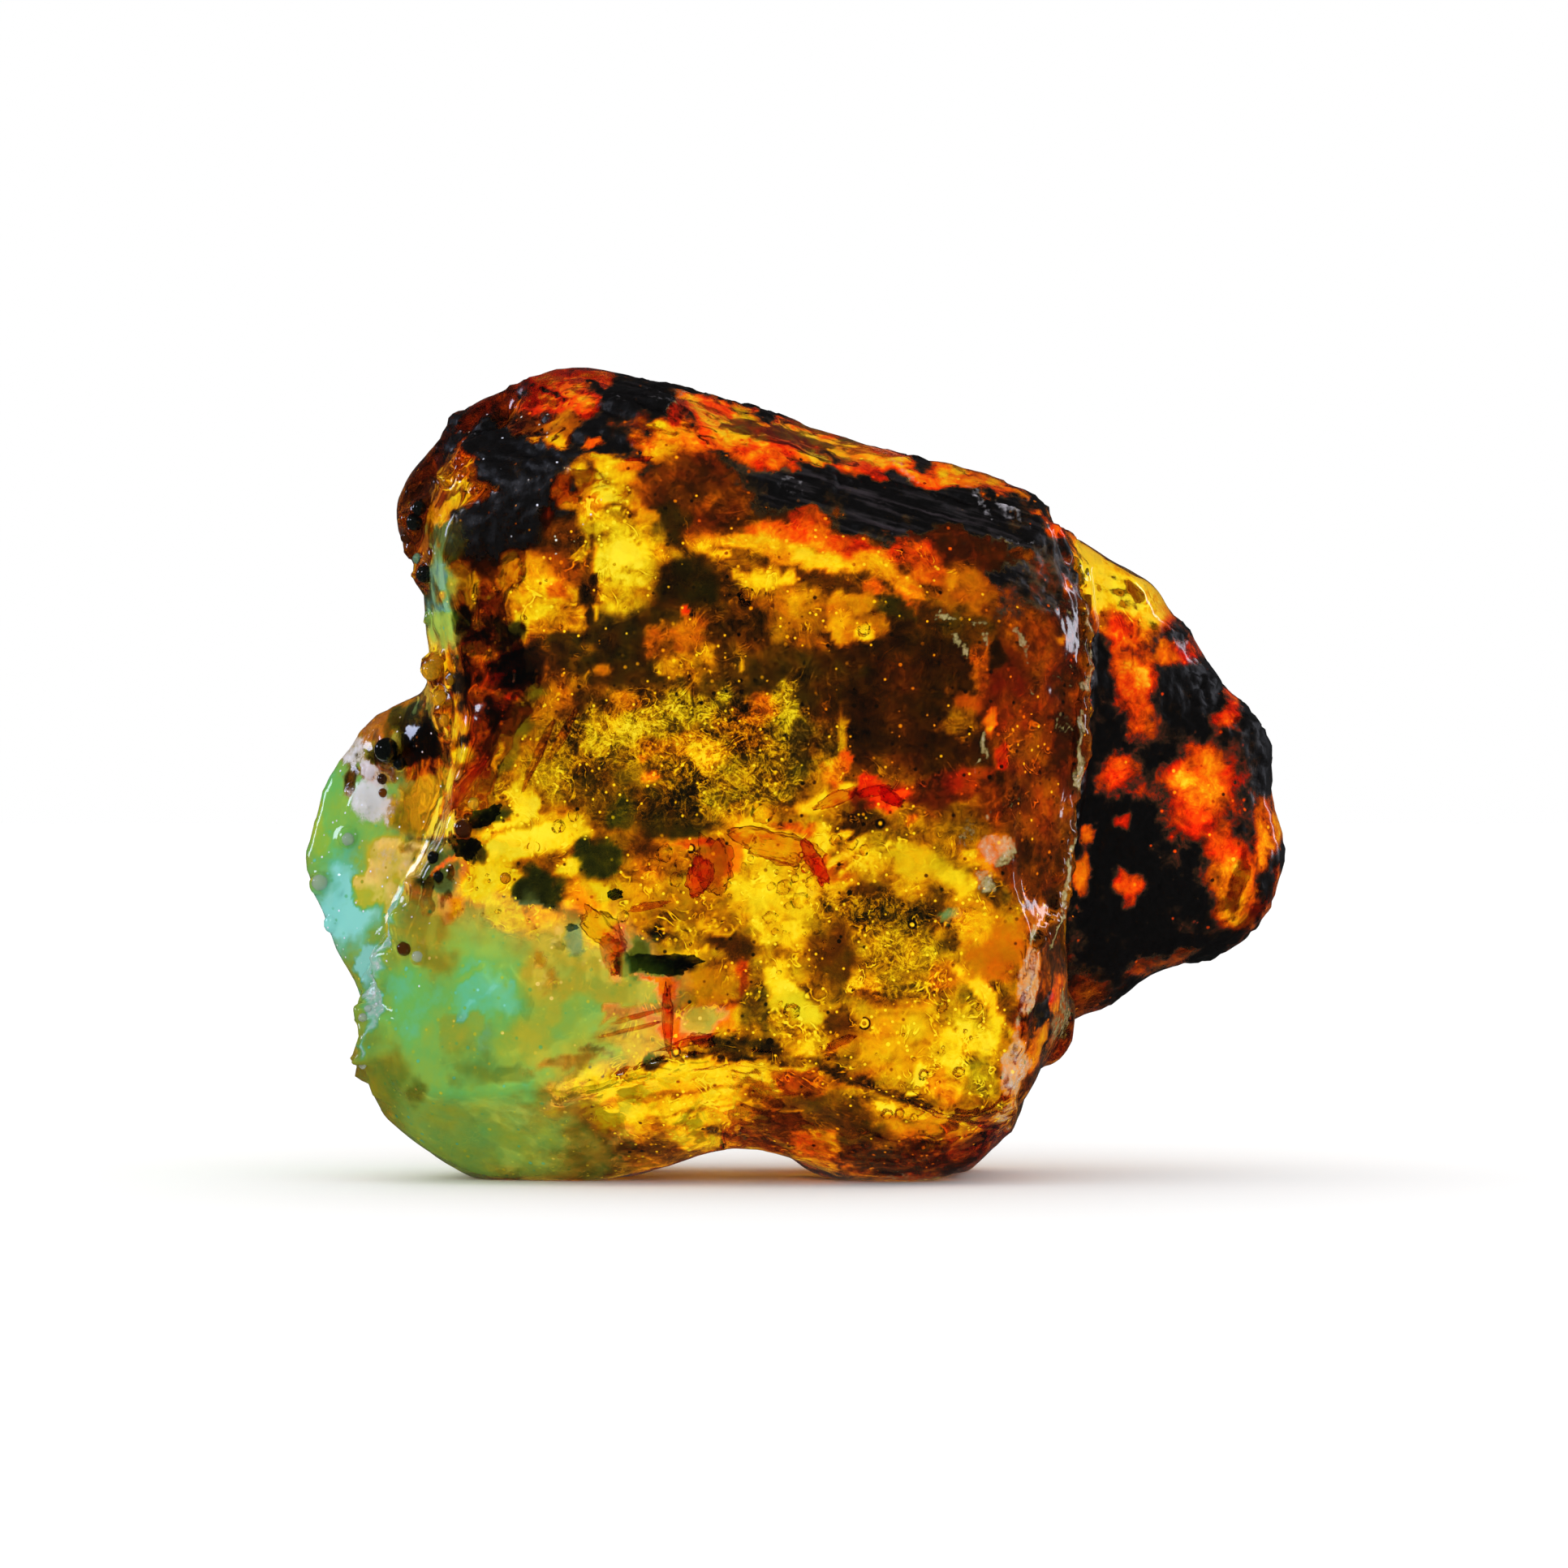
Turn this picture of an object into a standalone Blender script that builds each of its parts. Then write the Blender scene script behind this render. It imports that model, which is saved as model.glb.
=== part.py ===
"""Rough blue amber: one broken lump with a clear front face, a dark crust, a lobe behind on the right
and a rim of fused drops on the left. It stands on two small flats. Front is -Y, up is +Z."""

import math

import bmesh
import bpy
import numpy as np
from mathutils import Vector, noise
from mathutils.bvhtree import BVHTree

# Driving dimensions, in millimetres
STONE_WIDTH = 61.0
STONE_DEPTH = 31.5
STONE_HEIGHT = 49.8

MM = 0.001
# Every outline is read on this many spokes about one axis, which runs from front to back
SPOKES = 128
AXIS_X = -4.05
AXIS_Z = 25.25

# Outlines of the lump from front to back, clockwise as seen from the front, as x, y, z in millimetres

# The crisp edge of the clear front face
FACE_EDGE = [
    (-18.7, -9.5, 42.1), (-13.7, -10.5, 43.7), (-8.8, -11.5, 42.3), (-5.4, -12, 39.7), (0.9, -12, 38.1),
    (6.7, -12, 36.4), (11.4, -11.5, 33.9), (12.2, -11.5, 30.1), (12.6, -11.5, 25.2), (12.8, -11.5, 20.4),
    (13.7, -11, 16.0), (13.8, -11, 12.1), (13.1, -11, 8.2), (11.9, -10.5, 4.5), (7.2, -11.5, 6.0),
    (0.9, -12, 7.7), (-4.0, -12, 8.0), (-8.8, -11.5, 7.1), (-13.7, -10.5, 5.9), (-18.7, -9.5, 5.6),
    (-22.1, -8.5, 5.6), (-24.4, -7.5, 7.8), (-24.7, -7.5, 10.5), (-24.4, -7.5, 13.9), (-23.2, -8, 17.9),
    (-21.6, -8.5, 21.3), (-20.6, -9, 25.2), (-20.1, -9, 28.2), (-20.7, -8.5, 31.1), (-20.9, -8.5, 34.1),
    (-21.3, -8.5, 37.5), (-20.6, -9, 40.4),
]
# The shoulder between the face and the rim
SHOULDER = [
    (-20.3, -6.5, 44.5), (-14.3, -7.5, 47.1), (-8.9, -8.5, 46.8), (-4.5, -9, 44.8), (1.4, -9, 43.1),
    (7.3, -9, 41.4), (13.2, -9, 38.5), (14.9, -9, 34.5), (15.2, -9, 30.1), (15.2, -9, 25.2),
    (15.1, -9, 20.3), (15.2, -8.5, 15.9), (15.6, -8, 12.5), (14.4, -8.5, 7.6), (13.0, -8, 3.9),
    (7.8, -9, 2.7), (0.9, -10, 4.0), (-4.0, -9.5, 5.1), (-8.9, -8.5, 3.7), (-14.3, -7.5, 2.6),
    (-19.3, -7, 3.3), (-23.2, -6.5, 4.4), (-25.6, -5.5, 7.5), (-25.8, -5, 10.4), (-25.4, -4.5, 13.9),
    (-24.3, -4.5, 17.8), (-22.8, -5, 21.3), (-21.4, -6, 25.2), (-21.2, -6.5, 28.1), (-22.0, -5.5, 31.2),
    (-22.3, -5.5, 34.1), (-22.8, -5.5, 37.6), (-22.2, -6, 41.0),
]
# The rim, which is the outline that the front shows apart from the lobe behind
RIM = [
    (-23.7, -2.5, 43.9), (-21.5, -2, 46.2), (-18.5, -2, 48.6), (-14.0, -2.5, 50.0), (-9.5, -3, 49.8),
    (-3.8, -3.5, 48.1), (-0.1, -4, 46.8), (4.9, -4.5, 45.4), (9.8, -5, 43.8), (14.0, -5.5, 42.5),
    (15.7, -6, 40.9), (16.8, -6, 38.8), (17.6, -6, 35.6), (17.8, -6, 32.6), (17.7, -6, 29.7),
    (17.4, -6, 25.2), (17.2, -6, 22.3), (16.8, -6, 18.8), (16.6, -5, 15.4), (16.9, -4, 12.9),
    (16.5, -3.5, 9.9), (14.9, -4, 6.7), (13.2, -5, 4.0), (12.1, -5, 1.6), (9.6, -5, 0.1),
    (6.4, -5, 0.0), (3.2, -5, 0.3), (0.2, -5.5, 1.2), (-2.0, -5.5, 1.8), (-4.3, -5, 2.1),
    (-6.6, -4.5, 1.7), (-9.2, -4, 0.7), (-12.0, -3.5, -0.2), (-16.9, -3.5, -0.3), (-20.9, -3.5, 0.9),
    (-23.9, -3.5, 2.7), (-25.6, -3, 5.4), (-26.7, -2.5, 8.3), (-26.6, -2.5, 10.6), (-27.1, -2, 12.4),
    (-28.1, -1.5, 14.3), (-29.1, -1, 16.5), (-30.0, -0.5, 18.5), (-30.2, 0, 20.2), (-30.0, 0, 22.2),
    (-29.2, 0, 24.8), (-28.1, 0, 27.0), (-26.5, -0.5, 28.8), (-24.5, -1, 29.9), (-23.2, -1.5, 30.6),
    (-23.1, -2, 32.0), (-23.1, -2.5, 33.7), (-23.0, -2.5, 35.2), (-23.2, -2.5, 36.9), (-24.2, -2.5, 38.7),
    (-24.7, -2.5, 40.4), (-24.5, -2.5, 42.1),
]
# The waist behind the rim, from which the lobe flares on the right
WAIST = [
    (-23.2, 2.5, 42.9), (-21.2, 3, 45.6), (-18.2, 3, 47.9), (-14.1, 3, 49.4), (-9.1, 3, 49.4),
    (-3.8, 2.5, 47.9), (0.0, 2, 46.6), (5.0, 1.5, 45.2), (10.0, 1, 43.6), (13.7, 0.5, 42.2),
    (15.4, 0, 40.5), (16.4, 0, 38.2), (16.9, 0, 35.2), (17.0, 0.5, 32.3), (16.9, 0.5, 29.3),
    (16.7, 1, 25.3), (16.6, 1, 22.2), (16.4, 1, 18.7), (16.3, 1.5, 15.2), (16.4, 2, 12.7),
    (15.8, 2, 9.6), (14.1, 2, 6.4), (12.5, 1.5, 3.4), (11.2, 1.5, 0.7), (8.8, 1.5, -0.5),
    (3.5, 1.5, -0.1), (-1.1, 1.5, 1.6), (-4.1, 1.5, 2.3), (-7.0, 1.5, 1.8), (-10.5, 1.5, 0.2),
    (-17.1, 1.5, -0.6), (-20.6, 1.5, 0.7), (-23.6, 1.5, 3.2), (-25.1, 1.5, 5.7), (-26.2, 2, 8.2),
    (-26.1, 2, 10.7), (-26.7, 2.2, 12.7), (-27.4, 2.5, 14.7), (-28.3, 3, 17.0), (-29.0, 3, 19.7),
    (-28.8, 3, 22.2), (-28.0, 3, 24.8), (-26.7, 3, 27.0), (-25.2, 2.8, 28.5), (-23.2, 2.5, 29.8),
    (-22.4, 2.5, 31.3), (-22.5, 2.5, 33.8), (-22.5, 2.5, 35.8), (-23.2, 2.5, 37.8), (-23.9, 2.5, 40.1),
    (-23.8, 2.5, 41.6),
]
# The widest outline of the back, round the lobe
LOBE = [
    (-18.4, 8, 45.1), (-14.3, 8.5, 46.9), (-9.2, 8.5, 47.4), (-4.1, 8.5, 46.2), (1.0, 8.5, 44.4),
    (6.1, 8.5, 42.6), (11.2, 8.5, 41.2), (15.2, 8.5, 40.1), (17.8, 8.5, 39.7), (20.1, 9, 39.0),
    (22.1, 9, 37.6), (23.7, 9.5, 35.9), (25.4, 9.5, 33.4), (27.1, 10, 30.7), (29.0, 10, 28.4),
    (29.8, 10, 26.5), (30.0, 10, 24.0), (30.6, 10, 21.9), (30.9, 10, 19.9), (30.4, 10, 17.6),
    (29.6, 10, 15.9), (27.6, 10, 14.1), (25.3, 10, 12.7), (23.5, 10, 12.4), (21.7, 9.5, 11.7),
    (19.9, 9, 10.8), (18.0, 8.5, 10.2), (16.2, 8, 8.8), (14.6, 8, 6.2), (12.7, 8, 2.6),
    (10.9, 8, -0.2), (9.1, 8, -0.9), (4.0, 8, -0.3), (-0.6, 8, 1.6), (-5.1, 8, 2.2),
    (-10.2, 8, 0.6), (-17.3, 7.5, -0.9), (-20.6, 7, 1.4), (-22.9, 6.5, 5.0), (-24.1, 6.5, 9.5),
    (-24.6, 6.5, 13.6), (-25.4, 6, 17.7), (-25.9, 6, 20.7), (-25.4, 6, 23.7), (-24.1, 6, 26.3),
    (-22.1, 6, 28.8), (-21.1, 6, 31.3), (-21.1, 6, 34.9), (-21.3, 6.5, 38.4), (-21.1, 7, 42.0),
]
# The rounded edge of the back
BACK_EDGE = [
    (-15.0, 14, 42.3), (-9.3, 14.5, 43.9), (-3.1, 15, 43.4), (3.6, 15, 41.3), (9.3, 15, 39.2),
    (14.6, 15, 37.6), (20.0, 15.5, 35.6), (24.2, 16, 31.4), (26.8, 16.5, 26.8), (27.9, 16.5, 21.9),
    (27.0, 16, 17.9), (23.8, 15.5, 15.1), (19.0, 14.5, 13.4), (15.2, 13.5, 11.4), (12.3, 13, 7.3),
    (10.2, 12.5, 2.1), (6.1, 12, 0.6), (1.0, 12, 1.6), (-4.1, 12, 2.4), (-10.3, 12, 1.2),
    (-15.4, 12, 1.7), (-18.5, 12, 6.3), (-20.1, 12, 11.4), (-20.5, 11.5, 16.6), (-20.3, 11.5, 21.2),
    (-19.5, 11.5, 25.3), (-18.5, 11.5, 28.9), (-17.7, 12, 33.0), (-17.3, 13, 37.1),
]
OUTLINES = [FACE_EDGE, SHOULDER, RIM, WAIST, LOBE, BACK_EDGE]
# Where the lobe stands out past the waist by its full reach, its front lies this share of the way out to its
# outline, and this share of the way back
LOBE_REACH = 6.0
LOBE_FRONT_OUT = 0.84
LOBE_FRONT_BACK = 0.42
# Bands of faces from each outline to the next, and how sharply the surface turns at each, the lobe's front
# among them
BANDS = [3, 3, 4, 4, 3, 4]
SHARPNESS = [0.85, 0.2, 0.45, 0.1, 0.0, 0.1, 0.0]
FACE_BULGE = 1.1
BACK_BULGE = 5.5
# How round each cap is: 1 rises like a shallow dish, 0.5 like an ellipse
FACE_ROUNDNESS = 1.0
BACK_ROUNDNESS = 0.6
# Shares of the way from the middle to the first or last outline, with how many spokes each ring skips
FACE_RINGS = [(0.9, 1), (0.79, 2), (0.68, 2), (0.56, 2), (0.44, 4), (0.32, 4), (0.2, 8), (0.1, 16)]
BACK_RINGS = [(0.92, 2), (0.82, 2), (0.71, 2), (0.59, 4), (0.47, 4), (0.35, 4), (0.22, 8), (0.1, 16)]

# Drops fused to the left rim and the ridges, as x, y, z, radius and height over radius
DROPS = [
    (-23.4, -4.2, 41.0, 1.3, 1.0), (-23.2, -4.0, 37.2, 1.1, 1.0), (-24.3, -3.2, 39.1, 0.9, 1.0),
    (-22.8, -5.0, 31.2, 1.45, 1.0), (-22.0, -6.2, 29.2, 1.1, 1.0), (-25.4, -3.5, 26.2, 1.0, 1.0),
    (-26.9, -2.5, 23.2, 1.1, 1.0), (-28.3, -2.0, 20.9, 0.9, 1.0), (-29.3, -1.5, 18.0, 1.2, 1.0),
    (-20.9, -8.5, 21.4, 0.9, 1.0), (-25.6, -4.8, 9.3, 1.3, 1.7), (-24.6, -6.0, 13.0, 0.9, 1.8),
    (-23.7, -7.0, 16.6, 0.8, 2.2), (-25.6, -4.5, 6.2, 1.0, 1.3), (-22.6, -5.5, 34.4, 0.95, 1.0),
    (15.9, -2.5, 9.6, 2.0, 1.5),
]
DROP_SINK = 0.45

# Shallow scoops where flakes broke away, as x, y, z, radius and depth
SCOOPS = [
    (-9.0, -12.0, 15.0, 9.0, 0.8), (4.0, -12.5, 28.0, 10.0, 0.6), (-15.0, -11.0, 33.0, 7.0, 0.7),
    (8.0, 18.5, 29.0, 11.0, 1.8), (-10.0, 17.0, 14.0, 10.0, 1.6), (-8.0, 16.5, 37.0, 8.0, 1.2),
    (19.0, 18.0, 20.0, 6.0, 1.0),
]
# The dark cleft at the top left: its two ends, its depth, and how far from its line it is deep and dies out
CLEFT_ENDS = ((-18.6, -4.0, 47.6), (-22.8, -4.0, 43.2))
CLEFT_DEPTH = 1.1
CLEFT_FLOOR = 0.3
CLEFT_REACH = 2.1

# The skin is rough all over but on the clear face: which way a face turns there, and how far forward it lies
FACE_TURN = (-0.97, -0.72)
FACE_FRONT = (-6.5, -3.5)
# Long furrows run down the slope of the top crust
CRUST_UPWARD = (0.1, 0.6)
CRUST_SLOPE = math.radians(-15.8)
CRUST_FURROW_LENGTH = 13.0
CRUST_FURROW_PITCH = 3.2
CRUST_FURROW_DEPTH = 0.55
LUMP_PITCH = 6.5
LUMP_HEIGHT = 0.75
KNOB_PITCH = 3.1
KNOB_HEIGHT = 0.4
# Broad swells on the back
BACK_START = (5.0, 13.0)
SWELL_PITCH = 13.0
SWELL_HEIGHT = 1.5
FACE_RIPPLE_PITCH = 5.0
FACE_RIPPLE_HEIGHT = 0.16

# The block that cuts the flats, wider and deeper than the lump, with its top at height 0
GROUND_SIZE = (90.0, 60.0, 20.0)
GROUND_MIDDLE = (0.0, 3.0, -10.0)

AMBER_COLOUR = (0.32, 0.12, 0.015, 1.0)
AMBER_ROUGHNESS = 0.18
AMBER_IOR = 1.54
SHARP_EDGE = math.radians(38)


def clear_scene():
    for obj in list(bpy.data.objects):
        bpy.data.objects.remove(obj, do_unlink=True)


def smooth_loop(points, steps=12):
    """A closed curve through the points, as an array of steps points for each span."""
    knots = np.array(points, float)
    before, after, beyond = (np.roll(knots, shift, axis=0) for shift in (1, -1, -2))
    spans = []
    for t in np.linspace(0.0, 1.0, steps, endpoint=False):
        spans.append(0.5 * (
            2 * knots
            + (after - before) * t
            + (2 * before - 5 * knots + 4 * after - beyond) * t ** 2
            + (3 * knots - before - 3 * after + beyond) * t ** 3
        ))
    return np.stack(spans, axis=1).reshape(-1, 3)


def angles_about_axis(curve):
    return np.arctan2(curve[:, 2] - AXIS_Z, curve[:, 0] - AXIS_X)


def reach_from_axis(points):
    return np.hypot(points[:, 0] - AXIS_X, points[:, 2] - AXIS_Z)


def spoke_angles(curves):
    """Clockwise angles that share out the length of the widest outline evenly."""
    fine = np.linspace(0.0, 2 * math.pi, 1440, endpoint=False)
    reach = np.zeros_like(fine)
    for curve in curves:
        around = angles_about_axis(curve)
        reach = np.maximum(reach, np.interp(fine, around, reach_from_axis(curve), period=2 * math.pi))
    edge = np.stack([reach * np.cos(fine), reach * np.sin(fine)], axis=1)
    length = np.cumsum(np.linalg.norm(np.roll(edge, -1, axis=0) - edge, axis=1))
    length = np.insert(length, 0, 0.0)
    marks = np.linspace(0.0, length[-1], SPOKES, endpoint=False)
    return -np.interp(marks, length, np.append(fine, 2 * math.pi))


def ring_on_spokes(curve, spokes):
    around = angles_about_axis(curve)
    columns = [np.interp(spokes, around, curve[:, k], period=2 * math.pi) for k in range(3)]
    return np.stack(columns, axis=1)


def between_outlines(rings):
    """Every ring from the face edge to the back edge, on Hermite spans that turn sharply at an edge."""
    keys = np.array(rings)
    sharp = np.array(SHARPNESS)[:, None, None]
    ahead = np.diff(keys, axis=0, append=keys[-1:])
    behind = np.diff(keys, axis=0, prepend=keys[:1])
    ahead[-1] = behind[-1]
    behind[0] = ahead[0]
    turn = 0.5 * (ahead + behind)
    leaving = turn * (1 - sharp) + ahead * sharp
    arriving = turn * (1 - sharp) + behind * sharp
    made = []
    for k, bands in enumerate(BANDS):
        for t in np.linspace(0.0, 1.0, bands, endpoint=False):
            made.append(
                (2 * t ** 3 - 3 * t ** 2 + 1) * keys[k]
                + (t ** 3 - 2 * t ** 2 + t) * leaving[k]
                + (3 * t ** 2 - 2 * t ** 3) * keys[k + 1]
                + (t ** 3 - t ** 2) * arriving[k + 1]
            )
    made.append(keys[-1])
    return made


def lobe_front(waist, lobe):
    """The ring between waist and lobe, pushed out and forward where the lobe stands out from the body."""
    reach = reach_from_axis(lobe) - reach_from_axis(waist)
    swell = np.clip(reach / LOBE_REACH, 0.0, 1.0)[:, None]
    swollen = np.array([LOBE_FRONT_OUT, LOBE_FRONT_BACK, LOBE_FRONT_OUT])
    return waist + (lobe - waist) * (0.5 + (swollen - 0.5) * swell)


def cap_rings(edge, shares, bulge, roundness):
    """Rings from an edge inwards to its middle, raised by bulge there, the edge's waves dying out first."""
    middle = np.array([AXIS_X, edge[:, 1].mean(), AXIS_Z])
    rings = []
    for share, skip in shares:
        ring = middle + (edge[::skip] - middle) * (share, share ** 3, share)
        ring[:, 1] += bulge * (1 - share ** 2) ** roundness
        rings.append(ring)
    return rings, middle + np.array([0.0, bulge, 0.0])


def bridge(mesh, outer, inner, flip):
    """Faces between two rings, the inner one with as many points or half as many."""
    step = len(outer) // len(inner)
    for k in range(len(inner)):
        nearer, following = inner[k], inner[(k + 1) % len(inner)]
        first = outer[k * step]
        last = outer[(k + 1) * step % len(outer)]
        if step == 1:
            loops = [(first, last, following), (first, following, nearer)]
        else:
            middle = outer[k * step + 1]
            loops = [(first, middle, nearer), (middle, last, following), (middle, following, nearer)]
        for loop in loops:
            mesh.faces.new(loop[::-1] if flip else loop)


def close_with_fan(mesh, ring, tip, flip):
    for k in range(len(ring)):
        loop = (ring[k], ring[(k + 1) % len(ring)], tip)
        mesh.faces.new(loop[::-1] if flip else loop)


def loft_lump():
    curves = [smooth_loop(outline) for outline in OUTLINES]
    spokes = spoke_angles(curves)
    keys = [ring_on_spokes(curve, spokes) for curve in curves]
    waist, lobe = keys[OUTLINES.index(WAIST)], keys[OUTLINES.index(LOBE)]
    keys.insert(OUTLINES.index(LOBE), lobe_front(waist, lobe))
    rings = between_outlines(keys)
    mesh = bmesh.new()
    loops = [[mesh.verts.new(point) for point in ring] for ring in rings]
    for front, back in zip(loops, loops[1:]):
        bridge(mesh, front, back, flip=False)
    for edge, loop, shares, bulge, roundness, flip in (
        (rings[0], loops[0], FACE_RINGS, -FACE_BULGE, FACE_ROUNDNESS, True),
        (rings[-1], loops[-1], BACK_RINGS, BACK_BULGE, BACK_ROUNDNESS, False),
    ):
        inward, tip = cap_rings(edge, shares, bulge, roundness)
        for ring in inward:
            inner = [mesh.verts.new(point) for point in ring]
            bridge(mesh, loop, inner, flip)
            loop = inner
        close_with_fan(mesh, loop, mesh.verts.new(tip), flip)
    bmesh.ops.recalc_face_normals(mesh, faces=mesh.faces)
    return mesh


def fade(value, low, high):
    """0 at low, 1 at high, smooth between."""
    share = min(max((value - low) / (high - low), 0.0), 1.0)
    return share * share * (3 - 2 * share)


def cleft_depth(point):
    start, end = (Vector(corner) for corner in CLEFT_ENDS)
    along = end - start
    share = min(max((point - start).dot(along) / along.length_squared, 0.0), 1.0)
    distance = (point - (start + along * share)).length
    return CLEFT_DEPTH * (1 - fade(distance, CLEFT_FLOOR, CLEFT_REACH))


def scoop_depth(point):
    depth = 0.0
    for x, y, z, radius, deepest in SCOOPS:
        share = (point - Vector((x, y, z))).length / radius
        depth += deepest * max(0.0, 1 - share * share)
    return depth


def relief(point, normal):
    """How far the rough skin stands out of the plain form at a point."""
    rough = max(fade(normal.y, *FACE_TURN), fade(point.y, *FACE_FRONT))
    crust = rough * fade(normal.z, *CRUST_UPWARD)
    along = point.x * math.cos(CRUST_SLOPE) + point.z * math.sin(CRUST_SLOPE)
    across = point.z * math.cos(CRUST_SLOPE) - point.x * math.sin(CRUST_SLOPE)
    furrow = noise.noise(Vector((
        along / CRUST_FURROW_LENGTH,
        across / CRUST_FURROW_PITCH,
        point.y / CRUST_FURROW_PITCH,
    )))
    swell = noise.noise(point / SWELL_PITCH + Vector((2.0, 0.0, 4.0))) * fade(point.y, *BACK_START)
    lump = noise.noise(point / LUMP_PITCH)
    knob = noise.noise(point / KNOB_PITCH + Vector((7.0, 3.0, 5.0)))
    ripple = noise.noise(point / FACE_RIPPLE_PITCH + Vector((0.0, 9.0, 2.0)))
    height = rough * (LUMP_HEIGHT * lump + KNOB_HEIGHT * knob)
    height += crust * CRUST_FURROW_DEPTH * furrow + SWELL_HEIGHT * swell
    height += (1 - rough) * FACE_RIPPLE_HEIGHT * ripple
    return height - scoop_depth(point) - cleft_depth(point)


def roughen(mesh):
    mesh.normal_update()
    shifts = [vert.normal * relief(vert.co, vert.normal) for vert in mesh.verts]
    for vert, shift in zip(mesh.verts, shifts):
        vert.co += shift
    mesh.normal_update()


def object_from(mesh, name):
    data = bpy.data.meshes.new(name)
    mesh.to_mesh(data)
    obj = bpy.data.objects.new(name, data)
    bpy.context.scene.collection.objects.link(obj)
    return obj


def make_drops(lump_mesh):
    """The drops, each set into the skin where it comes nearest."""
    skin = BVHTree.FromBMesh(lump_mesh)
    drops = bmesh.new()
    for x, y, z, radius, height in DROPS:
        spot, normal, _, _ = skin.find_nearest(Vector((x, y, z)))
        ball = bmesh.ops.create_icosphere(drops, subdivisions=2, radius=radius)["verts"]
        bmesh.ops.scale(drops, verts=ball, vec=(1.0, 1.0, height))
        bmesh.ops.translate(drops, verts=ball, vec=spot - normal * radius * DROP_SINK)
    obj = object_from(drops, "drop_shapes")
    drops.free()
    return obj


def make_ground():
    """A block below the lump, which cuts the two flats that it stands on."""
    block = bmesh.new()
    bmesh.ops.create_cube(block, size=1.0)
    bmesh.ops.scale(block, verts=block.verts, vec=GROUND_SIZE)
    bmesh.ops.translate(block, verts=block.verts, vec=GROUND_MIDDLE)
    obj = object_from(block, "ground_shape")
    block.free()
    return obj


def combine(obj, other, operation):
    step = obj.modifiers.new(other.name, "BOOLEAN")
    step.operation = operation
    step.object = other
    # Some drops run into each other
    step.use_self = operation == "UNION"
    other.hide_render = True
    other.display_type = "WIRE"


def finished_mesh(obj):
    """The object's mesh with its cuts made, at the driving size, its box standing on the origin."""
    bpy.context.view_layer.update()
    graph = bpy.context.evaluated_depsgraph_get()
    data = bpy.data.meshes.new_from_object(obj.evaluated_get(graph))
    corners = np.array([vert.co for vert in data.vertices])
    low, high = corners.min(axis=0), corners.max(axis=0)
    scale = np.array([STONE_WIDTH, STONE_DEPTH, STONE_HEIGHT]) / (high - low) * MM
    middle = np.array([(low[0] + high[0]) / 2, (low[1] + high[1]) / 2, low[2]])
    for vert, corner in zip(data.vertices, corners):
        vert.co = (corner - middle) * scale
    return data


def amber_material():
    material = bpy.data.materials.new("rough_amber")
    material.use_nodes = True
    shader = material.node_tree.nodes["Principled BSDF"]
    shader.inputs["Base Color"].default_value = AMBER_COLOUR
    shader.inputs["Metallic"].default_value = 0.0
    shader.inputs["Roughness"].default_value = AMBER_ROUGHNESS
    shader.inputs["IOR"].default_value = AMBER_IOR
    return material


def make_amber():
    lump = loft_lump()
    roughen(lump)
    form = object_from(lump, "lump_form")
    helpers = [form, make_drops(lump), make_ground()]
    lump.free()
    combine(form, helpers[1], "UNION")
    combine(form, helpers[2], "DIFFERENCE")
    data = finished_mesh(form)
    for helper in helpers:
        bpy.data.objects.remove(helper, do_unlink=True)
    data.materials.clear()
    data.materials.append(amber_material())
    data.shade_smooth()
    data.set_sharp_from_angle(angle=SHARP_EDGE)
    amber = bpy.data.objects.new("rough_amber", data)
    bpy.context.scene.collection.objects.link(amber)


clear_scene()
make_amber()
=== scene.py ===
import math
import random

import bmesh
import bpy
import numpy as np
from mathutils import Matrix, Vector, noise
from mathutils.bvhtree import BVHTree


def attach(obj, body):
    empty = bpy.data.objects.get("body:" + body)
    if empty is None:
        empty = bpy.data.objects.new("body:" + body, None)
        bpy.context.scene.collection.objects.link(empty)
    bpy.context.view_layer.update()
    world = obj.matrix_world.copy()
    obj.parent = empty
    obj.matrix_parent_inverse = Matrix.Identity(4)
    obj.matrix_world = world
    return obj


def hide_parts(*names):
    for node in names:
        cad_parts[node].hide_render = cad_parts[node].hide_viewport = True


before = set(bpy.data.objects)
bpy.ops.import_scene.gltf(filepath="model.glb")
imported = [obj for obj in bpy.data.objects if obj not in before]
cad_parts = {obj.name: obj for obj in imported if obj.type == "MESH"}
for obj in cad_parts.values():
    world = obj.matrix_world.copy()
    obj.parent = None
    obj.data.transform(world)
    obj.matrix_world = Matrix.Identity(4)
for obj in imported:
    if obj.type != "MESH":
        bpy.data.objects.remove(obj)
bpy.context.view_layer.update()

mm = 0.001
print("frame loaded")


# How the photo looks at the lump. Places on it are given in the pixels of the photo
photoView = {
    "imageSide": 1932,
    "pixelSize": 0.050131,       # mm, on the plane below
    "planeDepth": -2.75,         # mm, along y
    "middle": (-1.034, 24.256),  # mm, x and z that the middle of the photo shows
    "distance": 450.0,           # mm, from the camera to the plane
    "sensor": 36.0,
    "clipStart": 0.01,           # metres
}
cameraPlace = Vector((
    photoView["middle"][0],
    photoView["planeDepth"] - photoView["distance"],
    photoView["middle"][1],
))


# Photo pixels of points in mm
def pixelsOf(points):
    farther = 1 + (points[:, 1] - photoView["planeDepth"]) / photoView["distance"]
    half = photoView["imageSide"] / 2
    across = half + (points[:, 0] - photoView["middle"][0]) / (photoView["pixelSize"] * farther)
    down = half - (points[:, 2] - photoView["middle"][1]) / (photoView["pixelSize"] * farther)
    return np.stack([across, down], axis=1)


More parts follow.
